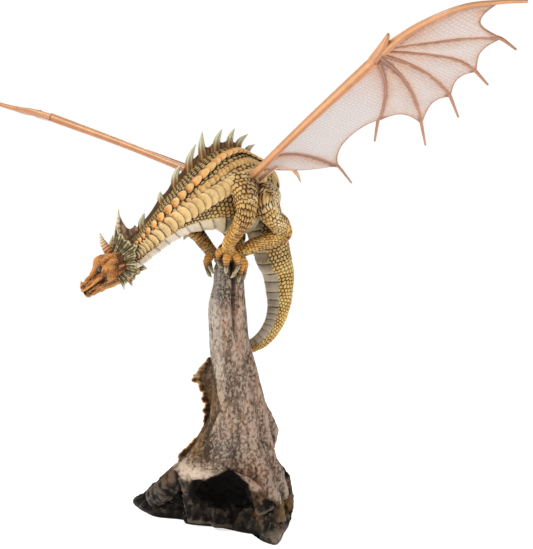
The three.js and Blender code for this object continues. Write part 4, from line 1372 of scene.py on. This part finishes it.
fingers, claws = [], []
for joints in DIGITS:
    base, knuckle, pad, tip = (np.array(j, float) for j in joints)
    root = knuckle * 0.25 + pad * 0.75
    hook = (pad * 0.45 + tip * 0.55) + unit(pad - base) * 2.2
    fingers.append(tube(round_stations((base, knuckle, pad), FINGER_RADII), HORN_TOP, 40, 26,
                        finger_relief, finger_colour))
    claws.append(tube(round_stations((root, pad, hook, tip), CLAW_RADII), HORN_TOP, 20, 14,
                      claw_relief, claw_colour))
finish("fingers", fingers, scale_paint)
horn_paint = painted("horn_paint", colour(70, 52, 32), colour(236, 228, 198), 0.6, 0.5, 0.25,
                     500.0, 0.15)
finish("claws", claws, horn_paint)
print(len(claws), "claws")

# %% [markdown]
# ## Rows of large scales
# Three rows of large scales lie over the small ones on each flank: rounded orange scales beside
# the crest, small ones under them, and a row of broad cream plates. The tail carries three more.
# Each is a flattened ball wrapped onto the skin and tilted up at its rear end, so that the rows
# overlap. A scale of its own, unlike relief, can stand clear of the skin and cast a shadow.

# %% A row of scales


def wrapped_scales(t0, angle0, long, wide, thick, tilt, paint, rings=7, sides=14, point=0.0):
    """Scales on the body's skin: for each, a ball squashed to long x wide x thick, whose
    distance along is added to t and whose distance across to the angle. point narrows the
    rear. Returns a part for each scale."""
    t0, angle0, long, wide, thick, tilt = (
        np.broadcast_to(np.asarray(a, float), np.shape(t0))[:, None, None]
        for a in (t0, angle0, long, wide, thick, tilt))
    rise = np.linspace(0.16, PI - 0.16, rings)[None, :, None]
    turn = np.linspace(0, 2 * PI, sides, endpoint=False)[None, None, :]
    x = np.sin(rise) * np.cos(turn)
    y = np.sin(rise) * np.sin(turn) * (1 - point * np.maximum(x, 0))
    up = thick * np.clip(np.cos(rise), -0.8, 0.8) + (x * 0.5 + 0.5) * tilt + 0 * turn
    speed = np.linalg.norm(catmull([s[0] for s in SPINE], t0 + 0.05)
                           - catmull([s[0] for s in SPINE], t0 - 0.05), axis=-1) / 0.1
    t = t0 + x * long / speed
    line = follow(SPINE, t)
    radius = np.hypot(line[4][..., 0] * np.cos(angle0), line[4][..., 1] * np.sin(angle0)) + 1
    points = on_skin(line, angle0 + y * wide / radius, up)
    tone = smooth(np.cos(rise), -0.1, 0.5) * (0.72 + 0.28 * x)
    rim = smooth(np.sin(rise), 0.6, 0.9) * smooth(x, -0.2, 0.5)
    tint = blend(paint[:, None, None], colour(240, 218, 170), rim * 0.7 + 0 * t)
    # dark patches, and painted shade at each scale's front where the scale before it overlaps
    shade_and_stain = smooth(noise(points, 3.2, 57), 0.1, 0.6) * 0.4 + smooth(-x, 0.1, 0.9) * 0.75
    tint = blend(tint, colour(116, 74, 36), np.clip(shade_and_stain, 0, 1))
    return [dressed(shell(place), tone[0], coat, (0.85, 0.3), coat[0, :2])
            for place, coat in zip(points, tint)]


def tiled_paint(count, first, second, seed):
    """One colour for each scale of a row, between two, so that no two neighbours match."""
    place = np.arange(count)[:, None] * np.array([[1.7, 0.9, 2.3]])
    return blend(first, second, 0.5 + 0.5 * noise(place, 1.0, seed))


print("two scale colours:", tiled_paint(2, colour(0, 0, 0), colour(255, 255, 255), 5).round(2))

# %% Lay the rows


def grown(t):
    """The size of a scale as a share of the biggest in its row: it grows from head to chest."""
    return 0.5 + 0.5 * smooth(t, 1, 3.4)


rows = []
for side in (1, -1):
    # broad cream plates, darker behind the ruff
    t = np.interp(np.linspace(0, 1, 25), [0, 0.5, 1], [1.15, 3.7, 6.25])
    lean = np.radians(98 - 28 * smooth(t, 2.5, 6.5))
    cream = blend(tiled_paint(25, colour(234, 178, 102), colour(216, 190, 144), 5),
                  colour(84, 56, 32), smooth(2.7 - t, 0, 1.4) * 0.85)
    rows += wrapped_scales(t, side * lean, 7.2 * grown(t), 10.2 * grown(t), 1.7 * grown(t),
                           3.6 * grown(t), cream, rings=11, sides=22)
    # rounded orange scales beside the crest
    t = np.linspace(1.3, 8.4, 30)
    lean = np.radians(62 - 35 * smooth(t, 2.8, 6.0))
    rows += wrapped_scales(t, side * lean, 6.0 * grown(t), 5.6 * grown(t), 1.9 * grown(t),
                           3.2 * grown(t), tiled_paint(30, colour(232, 138, 56), colour(226, 168, 96), 7),
                           rings=9, sides=18, point=0.2)
    # small scales between the two
    t = np.linspace(1.6, 7.2, 38)
    lean = np.radians(80 - 32 * smooth(t, 2.8, 6.2))
    rows += wrapped_scales(t, side * lean, 3.4 * grown(t), 4.6 * grown(t), 1.6 * grown(t), 1.6,
                           tiled_paint(38, colour(196, 128, 62), colour(214, 170, 108), 9))
t = np.linspace(7.6, 15.6, 30)
wide = np.interp(t, LEVELS, [s[1] for s in SPINE]) * 0.4
ridge = tiled_paint(30, colour(190, 140, 66), colour(214, 176, 108), 11)
rows += wrapped_scales(t, 0 * t, wide * 0.7 + 1, wide, wide * 0.2, 2.6, ridge, rings=8, sides=16,
                       point=0.45)
for side in (1, -1):
    rows += wrapped_scales(t, side * np.radians(34) + 0 * t, wide * 0.6 + 1, wide * 0.8, wide * 0.16,
                           1.6, ridge, point=0.3)
finish("scale_rows", rows, scale_paint)

# %% [markdown]
# ## Spikes and the crest
# Nine curved spikes stand along the crest, pale at the tip, with a dark web of skin between
# them. Each spike is a flattened cone whose middle is pushed back. The web's upper edge hangs
# between neighbouring spikes.

# %% Spikes and web
SPIKES = [
    # how far along the crest, height of the tip, how far the tip leans back
    (2.1, 12, 15), (3.0, 12, 6), (3.5, 20, 21), (4.05, 25, 22), (4.6, 31, 9),
    (5.15, 24, 15), (5.7, 22, 12), (6.15, 16, 22), (6.6, 11, 18),
]
PALE_HORN, DARK_WEB = colour(206, 202, 164), colour(70, 46, 26)


def spike_relief(t, angle):
    """Fine ridges from the foot to the tip."""
    ridges = np.cos(angle * 6)
    return 0.3 * ridges * (2 - t), 0.6 + 0.3 * ridges


def spike_colour(t, angle):
    """Brown at the foot and pale at the tip, with painted shade low on one side."""
    horn = blend(colour(150, 104, 52), PALE_HORN, smooth(t, 0.5, 1.3))
    shade_and_stain = smooth(np.cos(angle - 0.9), 0.5, 0.9) * smooth(2 - t, 0.1, 0.5)
    return blend(horn, DARK_WEB, shade_and_stain * 0.9)


def spike_part(along, reach, lean):
    """A spike from inside the back to its tip: wide along the body, thin across."""
    line = follow(SPINE, np.array(along))
    foot = on_skin(line, np.array(0.0), -6.0)
    tip = on_skin(line, np.array(0.0), reach) + line[1] * lean
    middle = (foot + tip) / 2 + line[2] * 2.5 - line[1] * lean * 0.16
    stations = [(foot, 3.2, 7.0), (middle, 2.0, 4.2), (tip, 0.4, 0.4)]
    return tube(stations, line[1], 26, 20, spike_relief, spike_colour)


def web_part(columns=260, rows=16):
    """The web: between two spikes its edge sags like a cord hung from part way up each."""
    t = np.linspace(0.35, 6.9, columns)
    fade = smooth(t, 0.2, 1.5) * (1 - smooth(t, 6.2, 6.95))
    at = [0.2] + [s[0] for s in SPIKES] + [7.1]
    tall = [4] + [s[1] * 0.5 for s in SPIKES] + [3]
    chord = np.interp(t, at, tall)
    gap = np.searchsorted(at, t) - 1
    left, right = np.array(at)[gap], np.array(at)[gap + 1]
    w = (t - left) / (right - left)
    high = np.maximum(chord * (1 - 0.9 * w * (1 - w) * 2), 3.0) * fade + 1
    v = np.linspace(0, 1, rows)[None, :]
    line = follow(SPINE, t[:, None] + 0 * v)
    raised = -5 + (high[:, None] + 5) * v
    lean = np.interp(t, [s[0] for s in SPIKES], [s[2] for s in SPIKES])[:, None, None]
    lift = line[1] * lean * (np.clip(raised, 0, 40) / 40)[..., None]
    sheet = on_skin(line, 0 * raised, raised) + lift
    fold = np.cos(w * 2 * PI * 3)[:, None] * v
    thick = (1.9 * (1 - v) + 0.7)[..., None]
    skin = sheet_shell(sheet + line[3] * thick, sheet - line[3] * thick)
    tone = both_sides(np.clip(0.5 + 0.08 * fold + 0.4 * noise(sheet, (1.6, 1.6, 7), 33), 0, 1))
    paint = blend(DARK_WEB, colour(132, 94, 46), tone * 0.8)
    return dressed(skin, tone, paint, caps=(DARK_WEB, DARK_WEB))


finish("spikes", [spike_part(*s) for s in SPIKES] + [web_part()], horn_paint)

# %% [markdown]
# ## The head
# The head hangs down and forward: a broad skull, a narrowing snout, a heavy brow over the eye,
# and a jaw line that a mouth groove parts from the snout. The features are bumps and grooves on
# one oval skin, placed by how far along the head and how far round from the top they are.

# %% Head sizes
HEAD = [
    # place, half width, half height, from the nape to the nose
    ((-72, -104, 323), 14, 17), ((-81, -111, 317), 18, 22), ((-90, -118, 310), 16.5, 21),
    ((-99, -124.5, 301), 12.5, 16.5), ((-107, -130.5, 293), 10, 12),
    ((-115, -136, 285.5), 9, 10.5), ((-119, -139.5, 281.5), 6.5, 7.5),
]
HEAD_TOP = (-0.45, -0.45, 0.77)
HEAD_BUMPS = [
    # height, stations along, degrees from the top, how long, how wide in degrees
    (7.0, 2.5, 38, 0.75, 12),     # brow
    (2.5, 2.1, 105, 0.8, 26),     # cheek
    (-5.2, 2.74, 60, 0.36, 11),   # eye socket
    (2.2, 5.35, 40, 0.4, 17),     # the nose beside the nostril
    (-2.6, 5.5, 48, 0.16, 10),    # nostril
    (2.4, 4.2, 34, 0.7, 12),      # side of the snout's ridge
    (2.4, 3.3, 84, 0.7, 9),       # swelling under the eye
]
HEAD_TONES = {
    "brown": colour(96, 58, 32), "orange": colour(198, 122, 56), "lip": colour(214, 158, 84),
    "jaw": colour(176, 128, 70), "nose": colour(236, 172, 92), "band": colour(30, 20, 14),
    "socket": colour(26, 18, 14),
}
print(len(HEAD_BUMPS), "features on the head")

# %% Head


def spot(t, angle, at, degrees, long, wide):
    """A soft bump, 1 in its middle: at stations along and degrees from the top, on both sides."""
    turn = np.degrees(np.abs(angle)) - degrees
    return np.exp(-((t - at) / long) ** 2 - (turn / wide) ** 2)


def head_relief(t, angle):
    """Brow, cheek, eye socket, nostril, lip and jaw on the head's skin, with small scales."""
    from_top = np.degrees(np.abs(angle))
    small = tiles(t * 7.5, angle / (2 * PI) * 30)
    mouth = dab(from_top, 112 - 3 * t, 5) * smooth(t, 2.6, 3.2)
    lips = dab(from_top, 98 - 3 * t, 7) * smooth(t, 2.6, 3.4)
    flat = np.maximum(np.cos(angle * 2), 0)
    bumps = sum(height * spot(t, angle, *where) for height, *where in HEAD_BUMPS)
    bumps = bumps - 1.8 * mouth + 1.3 * lips - 1.02 * flat
    ring = np.stack([np.cos(angle) * 14, np.sin(angle) * 14, t * 5.5], axis=-1)
    lumps = rough(ring, 4.5, 3, 83)
    tone = np.clip(0.36 + 0.3 * small + 0.75 * lumps, 0, 1.1)
    return bumps + (small - 0.6) * 0.5 + lumps * 2.0, tone * (1 - 0.7 * mouth) + 0.2 * lips


def head_colour(t, angle):
    """Orange brown above, paler along the lips, dark in the eye socket and across the snout."""
    tone, from_top = HEAD_TONES, np.degrees(np.abs(angle))
    ring = np.stack([np.cos(angle) * 14, np.sin(angle) * 14, t * 9], axis=-1)
    patch = smooth(rough(ring, 6.0, 3, 85), -0.2, 0.35)
    high = (spot(t, angle, 2.6, 40, 0.8, 16) + spot(t, angle, 4.2, 34, 0.9, 16)
            + spot(t, angle, 3.3, 84, 0.7, 10))
    return coats(
        blend(tone["brown"], tone["orange"], np.clip(patch * 0.55 + high * 0.75, 0, 1)),
        (tone["lip"], dab(from_top, 104 - 3 * t, 9) * smooth(t, 2.8, 3.6) * 0.6),
        (tone["jaw"], smooth(from_top, 125, 150) * 0.7),
        (tone["nose"], smooth(t, 5.1, 5.9) * 0.5 * smooth(100 - from_top, 0, 30)),
        (tone["band"], dab(t, 5.0, 0.16) * smooth(110 - from_top, 0, 30) * 0.8),
        (tone["socket"], np.clip(spot(t, angle, 2.74, 60, 0.36, 12) * 1.2, 0, 1)))


head = tube(HEAD, HEAD_TOP, 184, 136, head_relief, head_colour)
head_paint = painted("head_paint", colour(42, 27, 17), colour(236, 168, 92), 0.95, 0.45, 0.4, 420.0)
finish("head", [head], head_paint, cavity=0.55)

# %% [markdown]
# ## Horns and eyes
# The horns are cones that bow a little, with rings of growth, and the spur on the right elbow is
# one too. Each eye is a ball set into its socket. Its slit pupil could be a mesh of its own, but
# it is painted, by how far along the head a place on the ball is. A clear coat gives the wet
# gleam of the varnish that painters use on eyes.

# %% Horns
HORNS = [
    # foot, tip, radius: nose, left brow, right brow, crown, right elbow
    ((-117, -137.5, 289), (-123, -141, 294.5), 3.4), ((-88, -122, 326), (-102, -129, 352), 6.6),
    ((-98, -111, 327), (-106, -107, 350), 5.5), ((-82, -111, 330), (-85, -114, 380), 5.5),
    ((-44, -34, 357), (-47, -46, 344), 6),
]


def horn_relief(t, angle):
    """Rings of growth."""
    ring = np.cos(t * 26)
    return 0.25 * ring, 0.6 + 0.35 * ring


def horn_colour(t, angle):
    """Orange at the foot and pale at the tip."""
    return blend(colour(196, 118, 52), colour(222, 208, 170), smooth(t, 0.3, 1.7))


def horn_part(foot, tip, radius):
    """A horn: a cone from its foot to its tip that bows a little."""
    foot, tip = np.array(foot, float), np.array(tip, float)
    bow = (foot + tip) / 2 + np.array([-1.5, -1.5, 0])
    stations = round_stations((foot, bow, tip), (radius, radius * 0.62, 0.4))
    return tube(stations, HORN_TOP, 34, 20, horn_relief, horn_colour)


finish("horns", [horn_part(*row) for row in HORNS], horn_paint)

# %% Eyes
EYE_RADIUS = 3.0
EYE_DARK, EYE_GREY = colour(20, 20, 24), colour(92, 112, 126)
eyes = []
for side in (1, -1):
    line = follow(HEAD, np.array(2.72), HEAD_TOP)
    middle = on_skin(line, np.array(side * math.radians(59)), -1.6)
    p, f = shell(middle + ball_grid(18, 28, 0.1) * EYE_RADIUS)
    slit = np.abs(((p - middle) / EYE_RADIUS) @ line[1])
    paint = blend(EYE_DARK, EYE_GREY, smooth(slit, 0.12, 0.4) * 0.8)
    eyes.append((p, f, {"relief": np.full(len(p), 0.7), "paint": rgba(paint)}))
eye_gloss = painted("eye_gloss", EYE_DARK, colour(150, 165, 175), 0.2, 0.1, 0.1, 300.0, 0.0,
                    {"Coat Weight": 1.0, "Coat Roughness": 0.05})
finish("eyes", eyes, eye_gloss)

# %% [markdown]
# ## The ruff
# A ribbed fan of skin flares out behind each cheek, and a taller web joins the crown horn to the
# crest. Both are sheets whose edge has points at the ribs, and the ribs are pale on dark.

# %% Ruff and crown web
RUFF_RIBS = 9
CROWN_TIP = HORNS[3][1]


def ruff_part(side, rays=140, rings=28):
    """The fan: rays turn from above the cheek to below the jaw, longer at every third rib and
    drawn in between ribs. Ribs lift the sheet a little, and it flares outwards."""
    centre, ahead, up, left, _ = follow(HEAD, np.array(1.9), HEAD_TOP)
    left = left * side
    hub = centre + left * 14 + up * 6
    w = np.linspace(0, 1, rays)
    rib = w * RUFF_RIBS
    angle = np.radians(42 - 132 * w)
    between = np.abs(rib - np.round(rib)) * 2
    main = 1 - 0.16 * np.abs(np.sin(rib * PI / 3)) ** 0.8
    reach = (48 - 13 * w) * main * (1 - 0.07 * between)
    ray = -ahead * np.cos(angle)[:, None] + up * np.sin(angle)[:, None]
    v = np.linspace(0.08, 1, rings)[None, :, None]
    ridge = np.cos(rib * 2 * PI + 0.9 * np.sin(rib * 2.3))[:, None, None]
    fine = np.cos(rib * 2 * PI * 2.5 + 1.4 * np.sin(rib * 1.7))[:, None] * smooth(v[..., 0], 0.2, 0.5)
    sheet = hub + ray[:, None] * reach[:, None, None] * v
    sheet = sheet + left * (9 * v * v - 3 + ridge * (0.6 + 0.3 * v) + fine[..., None] * 0.3)
    thick = 1.1 * (1 - v * 0.4)
    skin = sheet_shell(sheet + left * thick, sheet - left * thick)
    rim = smooth(v[..., 0], 0.9, 0.99)
    grain = noise(sheet, 2.6, 35)
    tone = np.clip(0.55 + 0.14 * ridge[..., 0] + 0.17 * fine + 0.28 * grain + 0.35 * rim, 0, 1)
    hot = both_sides(1 - v[..., 0] + 0 * tone)
    tone = both_sides(tone)
    paint = coats(colour(104, 90, 56), (colour(204, 192, 150), smooth(tone, 0.5, 1.0) * 0.8),
                  (colour(190, 122, 56), smooth(hot, 0.6, 0.9) * 0.6))
    return dressed(skin, tone, paint, caps=paint[0, :2])


def crown_web_part(columns=60, rows=30):
    """The web from the crown horn back to the crest: its edge hangs between the two tips."""
    crown = np.array(CROWN_TIP, float)
    w = np.linspace(0, 1, columns)
    line = follow(SPINE, 0.1 + 1.9 * w)
    low = on_skin(line, 0 * w, -4.0)
    ridge = on_skin(follow(SPINE, np.array(2.0)), np.array(0.0), 10.0)
    high = crown * (1 - w[:, None]) + ridge * w[:, None]
    high = high - np.array([0, 0, 1]) * (11 * np.sin(w * PI) ** 0.8 + 3 * (1 - w))[:, None]
    v = np.linspace(0, 1, rows)[None, :, None]
    sheet = low[:, None] * (1 - v) + high[:, None] * v
    ribs = np.cos(w * 2 * PI * 3 + 0.8 * np.sin(w * 9))[:, None, None]
    out = line[3][:, None]
    thick = 1.4 * (1 - v * 0.5) + 0.35 * ribs * v
    skin = sheet_shell(sheet + out * thick, sheet - out * thick)
    tone = np.clip(0.55 + 0.2 * ribs[..., 0] + 0.3 * noise(sheet, 3.0, 34), 0, 1)
    front = both_sides((1 - w)[:, None] + 0 * tone)
    tone = both_sides(tone)
    paint = coats(colour(112, 84, 60), (colour(160, 124, 96), tone),
                  (colour(206, 200, 176), smooth(front, 0.82, 0.97) * 0.8))
    return dressed(skin, tone, paint, caps=paint[0, :2])


ruff_paint = painted("ruff_paint", colour(64, 48, 28), colour(214, 202, 156), 0.75, 0.3, 0.5,
                     420.0, 0.2)
finish("ruff", [ruff_part(1), ruff_part(-1), crown_web_part()], ruff_paint)

# %% [markdown]
# ## The wings
# A wing lies in one plane that is tilted up and back. Its points are given in that plane, as
# millimetres out along the span and back along the chord, and then lifted by a shallow arch.
# The far wing is the same one seen in a mirror, so one function makes both.

# %% Wing plane
WING_ROOT = np.array([28.0, -10.0, 414.0])
DIHEDRAL, INCIDENCE = math.radians(17.1), math.radians(-10.7)
WING_CAMBER, FINGER_DROOP = 5.0, 5.0
SPAN_WAY = np.array([math.cos(DIHEDRAL), 0, math.sin(DIHEDRAL)])
RISE_WAY = np.array([-math.sin(DIHEDRAL), 0, math.cos(DIHEDRAL)])
CHORD_WAY = np.array([0, math.cos(INCIDENCE), 0]) + RISE_WAY * math.sin(INCIDENCE)
WING_UP = np.cross(SPAN_WAY, CHORD_WAY)
ARM = [(-8, 2.5), (5, -1.5), (132, -37.5), (265, -75)]
THUMB = [(262, -76), (289, -91), (305, -104)]
FINGER = [(281, -82), (304, -90), (338, -96), (376, -90), (400, -72), (416, -52)]
RIBS = [
    # from the wrist, bent at, to the edge, tip
    ((283, -83.5), (341, -69), (362, -13), (359, 17)),
    ((279.5, -82), (326, -38), (310, 21), (301, 54)),
    ((276, -80), (290, -22), (263, 42), (239, 88)),
    ((272, -78), (264, -14), (207, 65), (175, 112)),
    ((267, -76), (240, -20), (184, 21), (149, 55)),
    ((60, -16), (92, -6), (82, 66), (59, 114)),
]
ROOT_EDGE = ((30, -8), (44, 36), (80, 62))
SCALLOPS = [0.16, 0.10, 0.12, 0.12, 0.12, 0.22, 0]
WING_CLAW = [(46, 2), (49, 20), (42, 38), (28, 58)]
ROD = [(46, 3), (-2, 12), (-12, 14)]


def wing_point(flat, side, lift=0.0):
    """A place on the wing from (span, chord): root + span way + chord way + the arch."""
    span, chord = flat[..., :1], flat[..., 1:2]
    arch = WING_CAMBER * np.sin(PI * np.clip(span / 420, 0, 1))
    droop = FINGER_DROOP * smooth(span, 275, 330) * smooth(-chord, 0, 70)
    p = WING_ROOT + SPAN_WAY * span + CHORD_WAY * chord + WING_UP * (arch - droop + lift)
    return p * np.array([side, 1, 1])


def bend(a, b, c, t):
    """The curve from a to c that leans towards b: (1-t)^2 a + 2t(1-t) b + t^2 c."""
    a, b, c = (np.array(p, float) for p in (a, b, c))
    t = np.asarray(t, float)[..., None]
    return (1 - t) ** 2 * a + 2 * t * (1 - t) * b + t * t * c


print("wing tip at", wing_point(np.array(FINGER[-1], float), 1).round(1))

# %% [markdown]
# ## The wing's skin
# The membrane could be cloth, but the real one is moulded, so it is a sheet with a thickness.
# Each panel hangs between two bones: its edge is drawn in and its middle sinks. The attribute
# `plane` keeps each point's place in the wing's plane, for the net of fine lines that the
# material draws there. Modelled, lines so thin would take millions of faces.

# %% Wing skin
SKIN_THICK = 1.6
NET = 4.6                         # the net's mesh, in millimetres
WRIST = np.array([270, -74])
OUT_OF_REACH = 60                 # so far from a bone that its paint has faded


def skin_line(number, t):
    """The line of a bone that the skin hangs from: the finger first, then the ribs, then the
    root edge."""
    if number == 0:
        return catmull(FINGER, np.asarray(t) * 4.0)
    if number <= len(RIBS):
        return bend(*RIBS[number - 1][:3], t)
    return bend(*ROOT_EDGE, t)


def wing_skin(side, across=24, rows=72):
    """The membrane as one sheet from the finger to the root edge. The paint darkens towards
    bones, edges and the wrist. lead is how far a place is from its panel's first bone: behind
    the finger and beside the root edge the dark paint reaches further in."""
    flat, sink, bone, lead = [], [], [], []
    part = np.linspace(0, 1, rows)[None, :]
    last = len(SCALLOPS) - 1
    for i, scallop in enumerate(SCALLOPS):
        w = np.linspace(0, 1, across, endpoint=i == last)[:, None]
        edge = 1 - scallop * 4 * w * (1 - w)
        first, second = skin_line(i, part * edge), skin_line(i + 1, part * edge)
        flat.append(first * (1 - w)[..., None] + second * w[..., None])
        sink.append(-2.2 * np.sin(w * PI) * np.sin(part * PI * 0.9) + 0 * part)
        wide = np.linalg.norm(first - second, axis=-1)
        bone.append(np.minimum(w, 1 - w) * wide)
        lead.append(w * wide + (0 if i in (0, last) else OUT_OF_REACH))
    flat, sink, bone, lead = (np.concatenate(a) for a in (flat, sink, bone, lead))
    rim = (1 - part) * 90 + 0 * bone
    middle = wing_point(flat, side, sink[..., None])
    lift = (WING_UP * np.array([side, 1, 1])) * (SKIN_THICK / 2)
    wrist = np.linalg.norm(flat - WRIST, axis=-1)
    dots = 0.6 + 0.4 * noise(middle, 2.6, 92)
    shade = (np.exp(-(bone / 2.2) ** 1.5) + dots * np.exp(-(bone / 8.5))
             + dots * np.exp(-(rim / 5.0)) + 0.5 * np.exp(-(lead / 12)) + 0.8 * np.exp(-(wrist / 38))
             + 0.25 * rough(middle, 30, 2, 91) * np.exp(-bone / 10))
    paint = coats(colour(214, 207, 204), (colour(204, 160, 132), np.clip(shade * 1.3, 0, 1)),
                  (colour(140, 88, 62), smooth(shade, 0.75, 1.25)))
    paint = both_sides(paint)
    plane = both_sides(flat).reshape(-1, 2) / NET
    plane = np.vstack([plane, plane[:2]]) @ np.eye(2, 3)
    points, faces, values = dressed(sheet_shell(middle + lift, middle - lift),
                                    np.full(paint.shape[:2], 0.7), paint, (0.7, 0.7), paint[0, :2])
    return points, faces, {**values, "plane": rgba(plane)}


print("wing skin:", len(wing_skin(1)[0]), "points")

# %% [markdown]
# ## The wing's bones
# The bones are round tubes in the wing's plane, painted orange, with painted shade on a darker underside.
# A thin rim closes each panel's free edge. Every rib's tip stands out past the skin like a small claw.

# %% Wing bones


def bone_relief(t, angle):
    """Weak strands along the bone."""
    strand = np.sin(angle * 5 + t)
    return 0.15 * strand, 0.6 + 0.25 * strand


def wing_bone(side, route, radii, rings, sides=18, tone=(222, 164, 116)):
    """A bone: a round tube along a route in the wing plane."""

    def bone_colour(t, angle):
        # a painted highlight and painted shade round the bone, by the angle round it
        return blend(colour(*tone), colour(168, 104, 66), 0.4 + 0.4 * np.sin(angle * 2 + 0.6))

    places = [wing_point(np.array(p, float), side) for p in route]
    return tube(round_stations(places, radii), (0, 0.3, 1), rings, sides, bone_relief, bone_colour)


def rim_bone(side, number):
    """The thin rim along the free edge of one panel."""
    w = np.linspace(0, 1, 13)
    edge = 1 - SCALLOPS[number] * 4 * w * (1 - w)
    first, second = skin_line(number, edge), skin_line(number + 1, edge)
    flat = first * (1 - w)[:, None] + second * w[:, None]
    places = wing_point(flat, side, (-0.68 * np.sin(w * PI))[:, None])
    return tube(round_stations(places, [1.0] * len(places)), (0, 0.3, 1), 48, 8,
                lambda t, angle: (0 * t, 0.6 + 0 * t), lambda t, angle: colour(158, 104, 72))


def wing_bones(side):
    """Arm, thumb, finger, ribs, the claw at the root and the peg that plugs into the back."""
    parts = [wing_bone(side, ARM, (4.2, 4.4, 4.4, 5.5), 120),
             wing_bone(side, THUMB, (4.8, 3.6, 1.4), 30),
             wing_bone(side, FINGER, (5, 3.8, 3.1, 2.5, 1.9, 1.3), 110),
             wing_bone(side, WING_CLAW, (2.4, 2.2, 1.9, 0.5), 30),
             wing_bone(side, ROD, (3.2, 3.2, 3.0), 30, tone=(236, 214, 190))]
    parts += [rim_bone(side, number) for number in range(len(RIBS) + 1)]
    for start, bent, end, tip in RIBS:
        route = [bend(start, bent, end, w) for w in (0, 0.3, 0.6, 0.9)] + [np.array(end, float), tip]
        parts.append(wing_bone(side, route, (1.9, 1.5, 1.3, 1.3, 1.7, 1.0), 90, 14, (172, 116, 80)))
    return parts


print("shells in a wing's bones:", len(wing_bones(1)))

# %% Wing materials and pieces
wing_gloss = painted("wing_skin", colour(214, 196, 190), colour(246, 240, 238), 0.0, 0.15, 0.05,
                     600.0, 0.05, {"Transmission Weight": 0.25, "Coat Weight": 0.4,
                                   "Coat Roughness": 0.15})
tree = wing_gloss.node_tree
skin_colour = tree.nodes["Principled BSDF"].inputs["Base Color"]
plane = add(tree, "Attribute", {"attribute_name": "plane"}).outputs["Vector"]
cells = add(tree, "TexVoronoi", {"voronoi_dimensions": "2D", "feature": "DISTANCE_TO_EDGE"},
            Vector=plane, Scale=1.0, Randomness=0.5)
veil = times(tree, ramp(tree, cells.outputs["Distance"], 0.2, 0.04), 0.45)
under_net = skin_colour.links[0].from_socket
tree.links.new(mix_colour(tree, "MULTIPLY", veil, under_net, (0.6, 0.48, 0.42)), skin_colour)
bone_gloss = painted("wing_bone", colour(104, 60, 36), colour(236, 190, 150), 0.5, 0.3, 0.2, 400.0,
                     0.1, {"Coat Weight": 0.3, "Coat Roughness": 0.25})
for side, word in ((1, "left"), (-1, "right")):
    finish(f"wing_{word}_skin", [wing_skin(side)], wing_gloss, f"wing_{word}")
    finish(f"wing_{word}_bones", wing_bones(side), bone_gloss, f"wing_{word}")
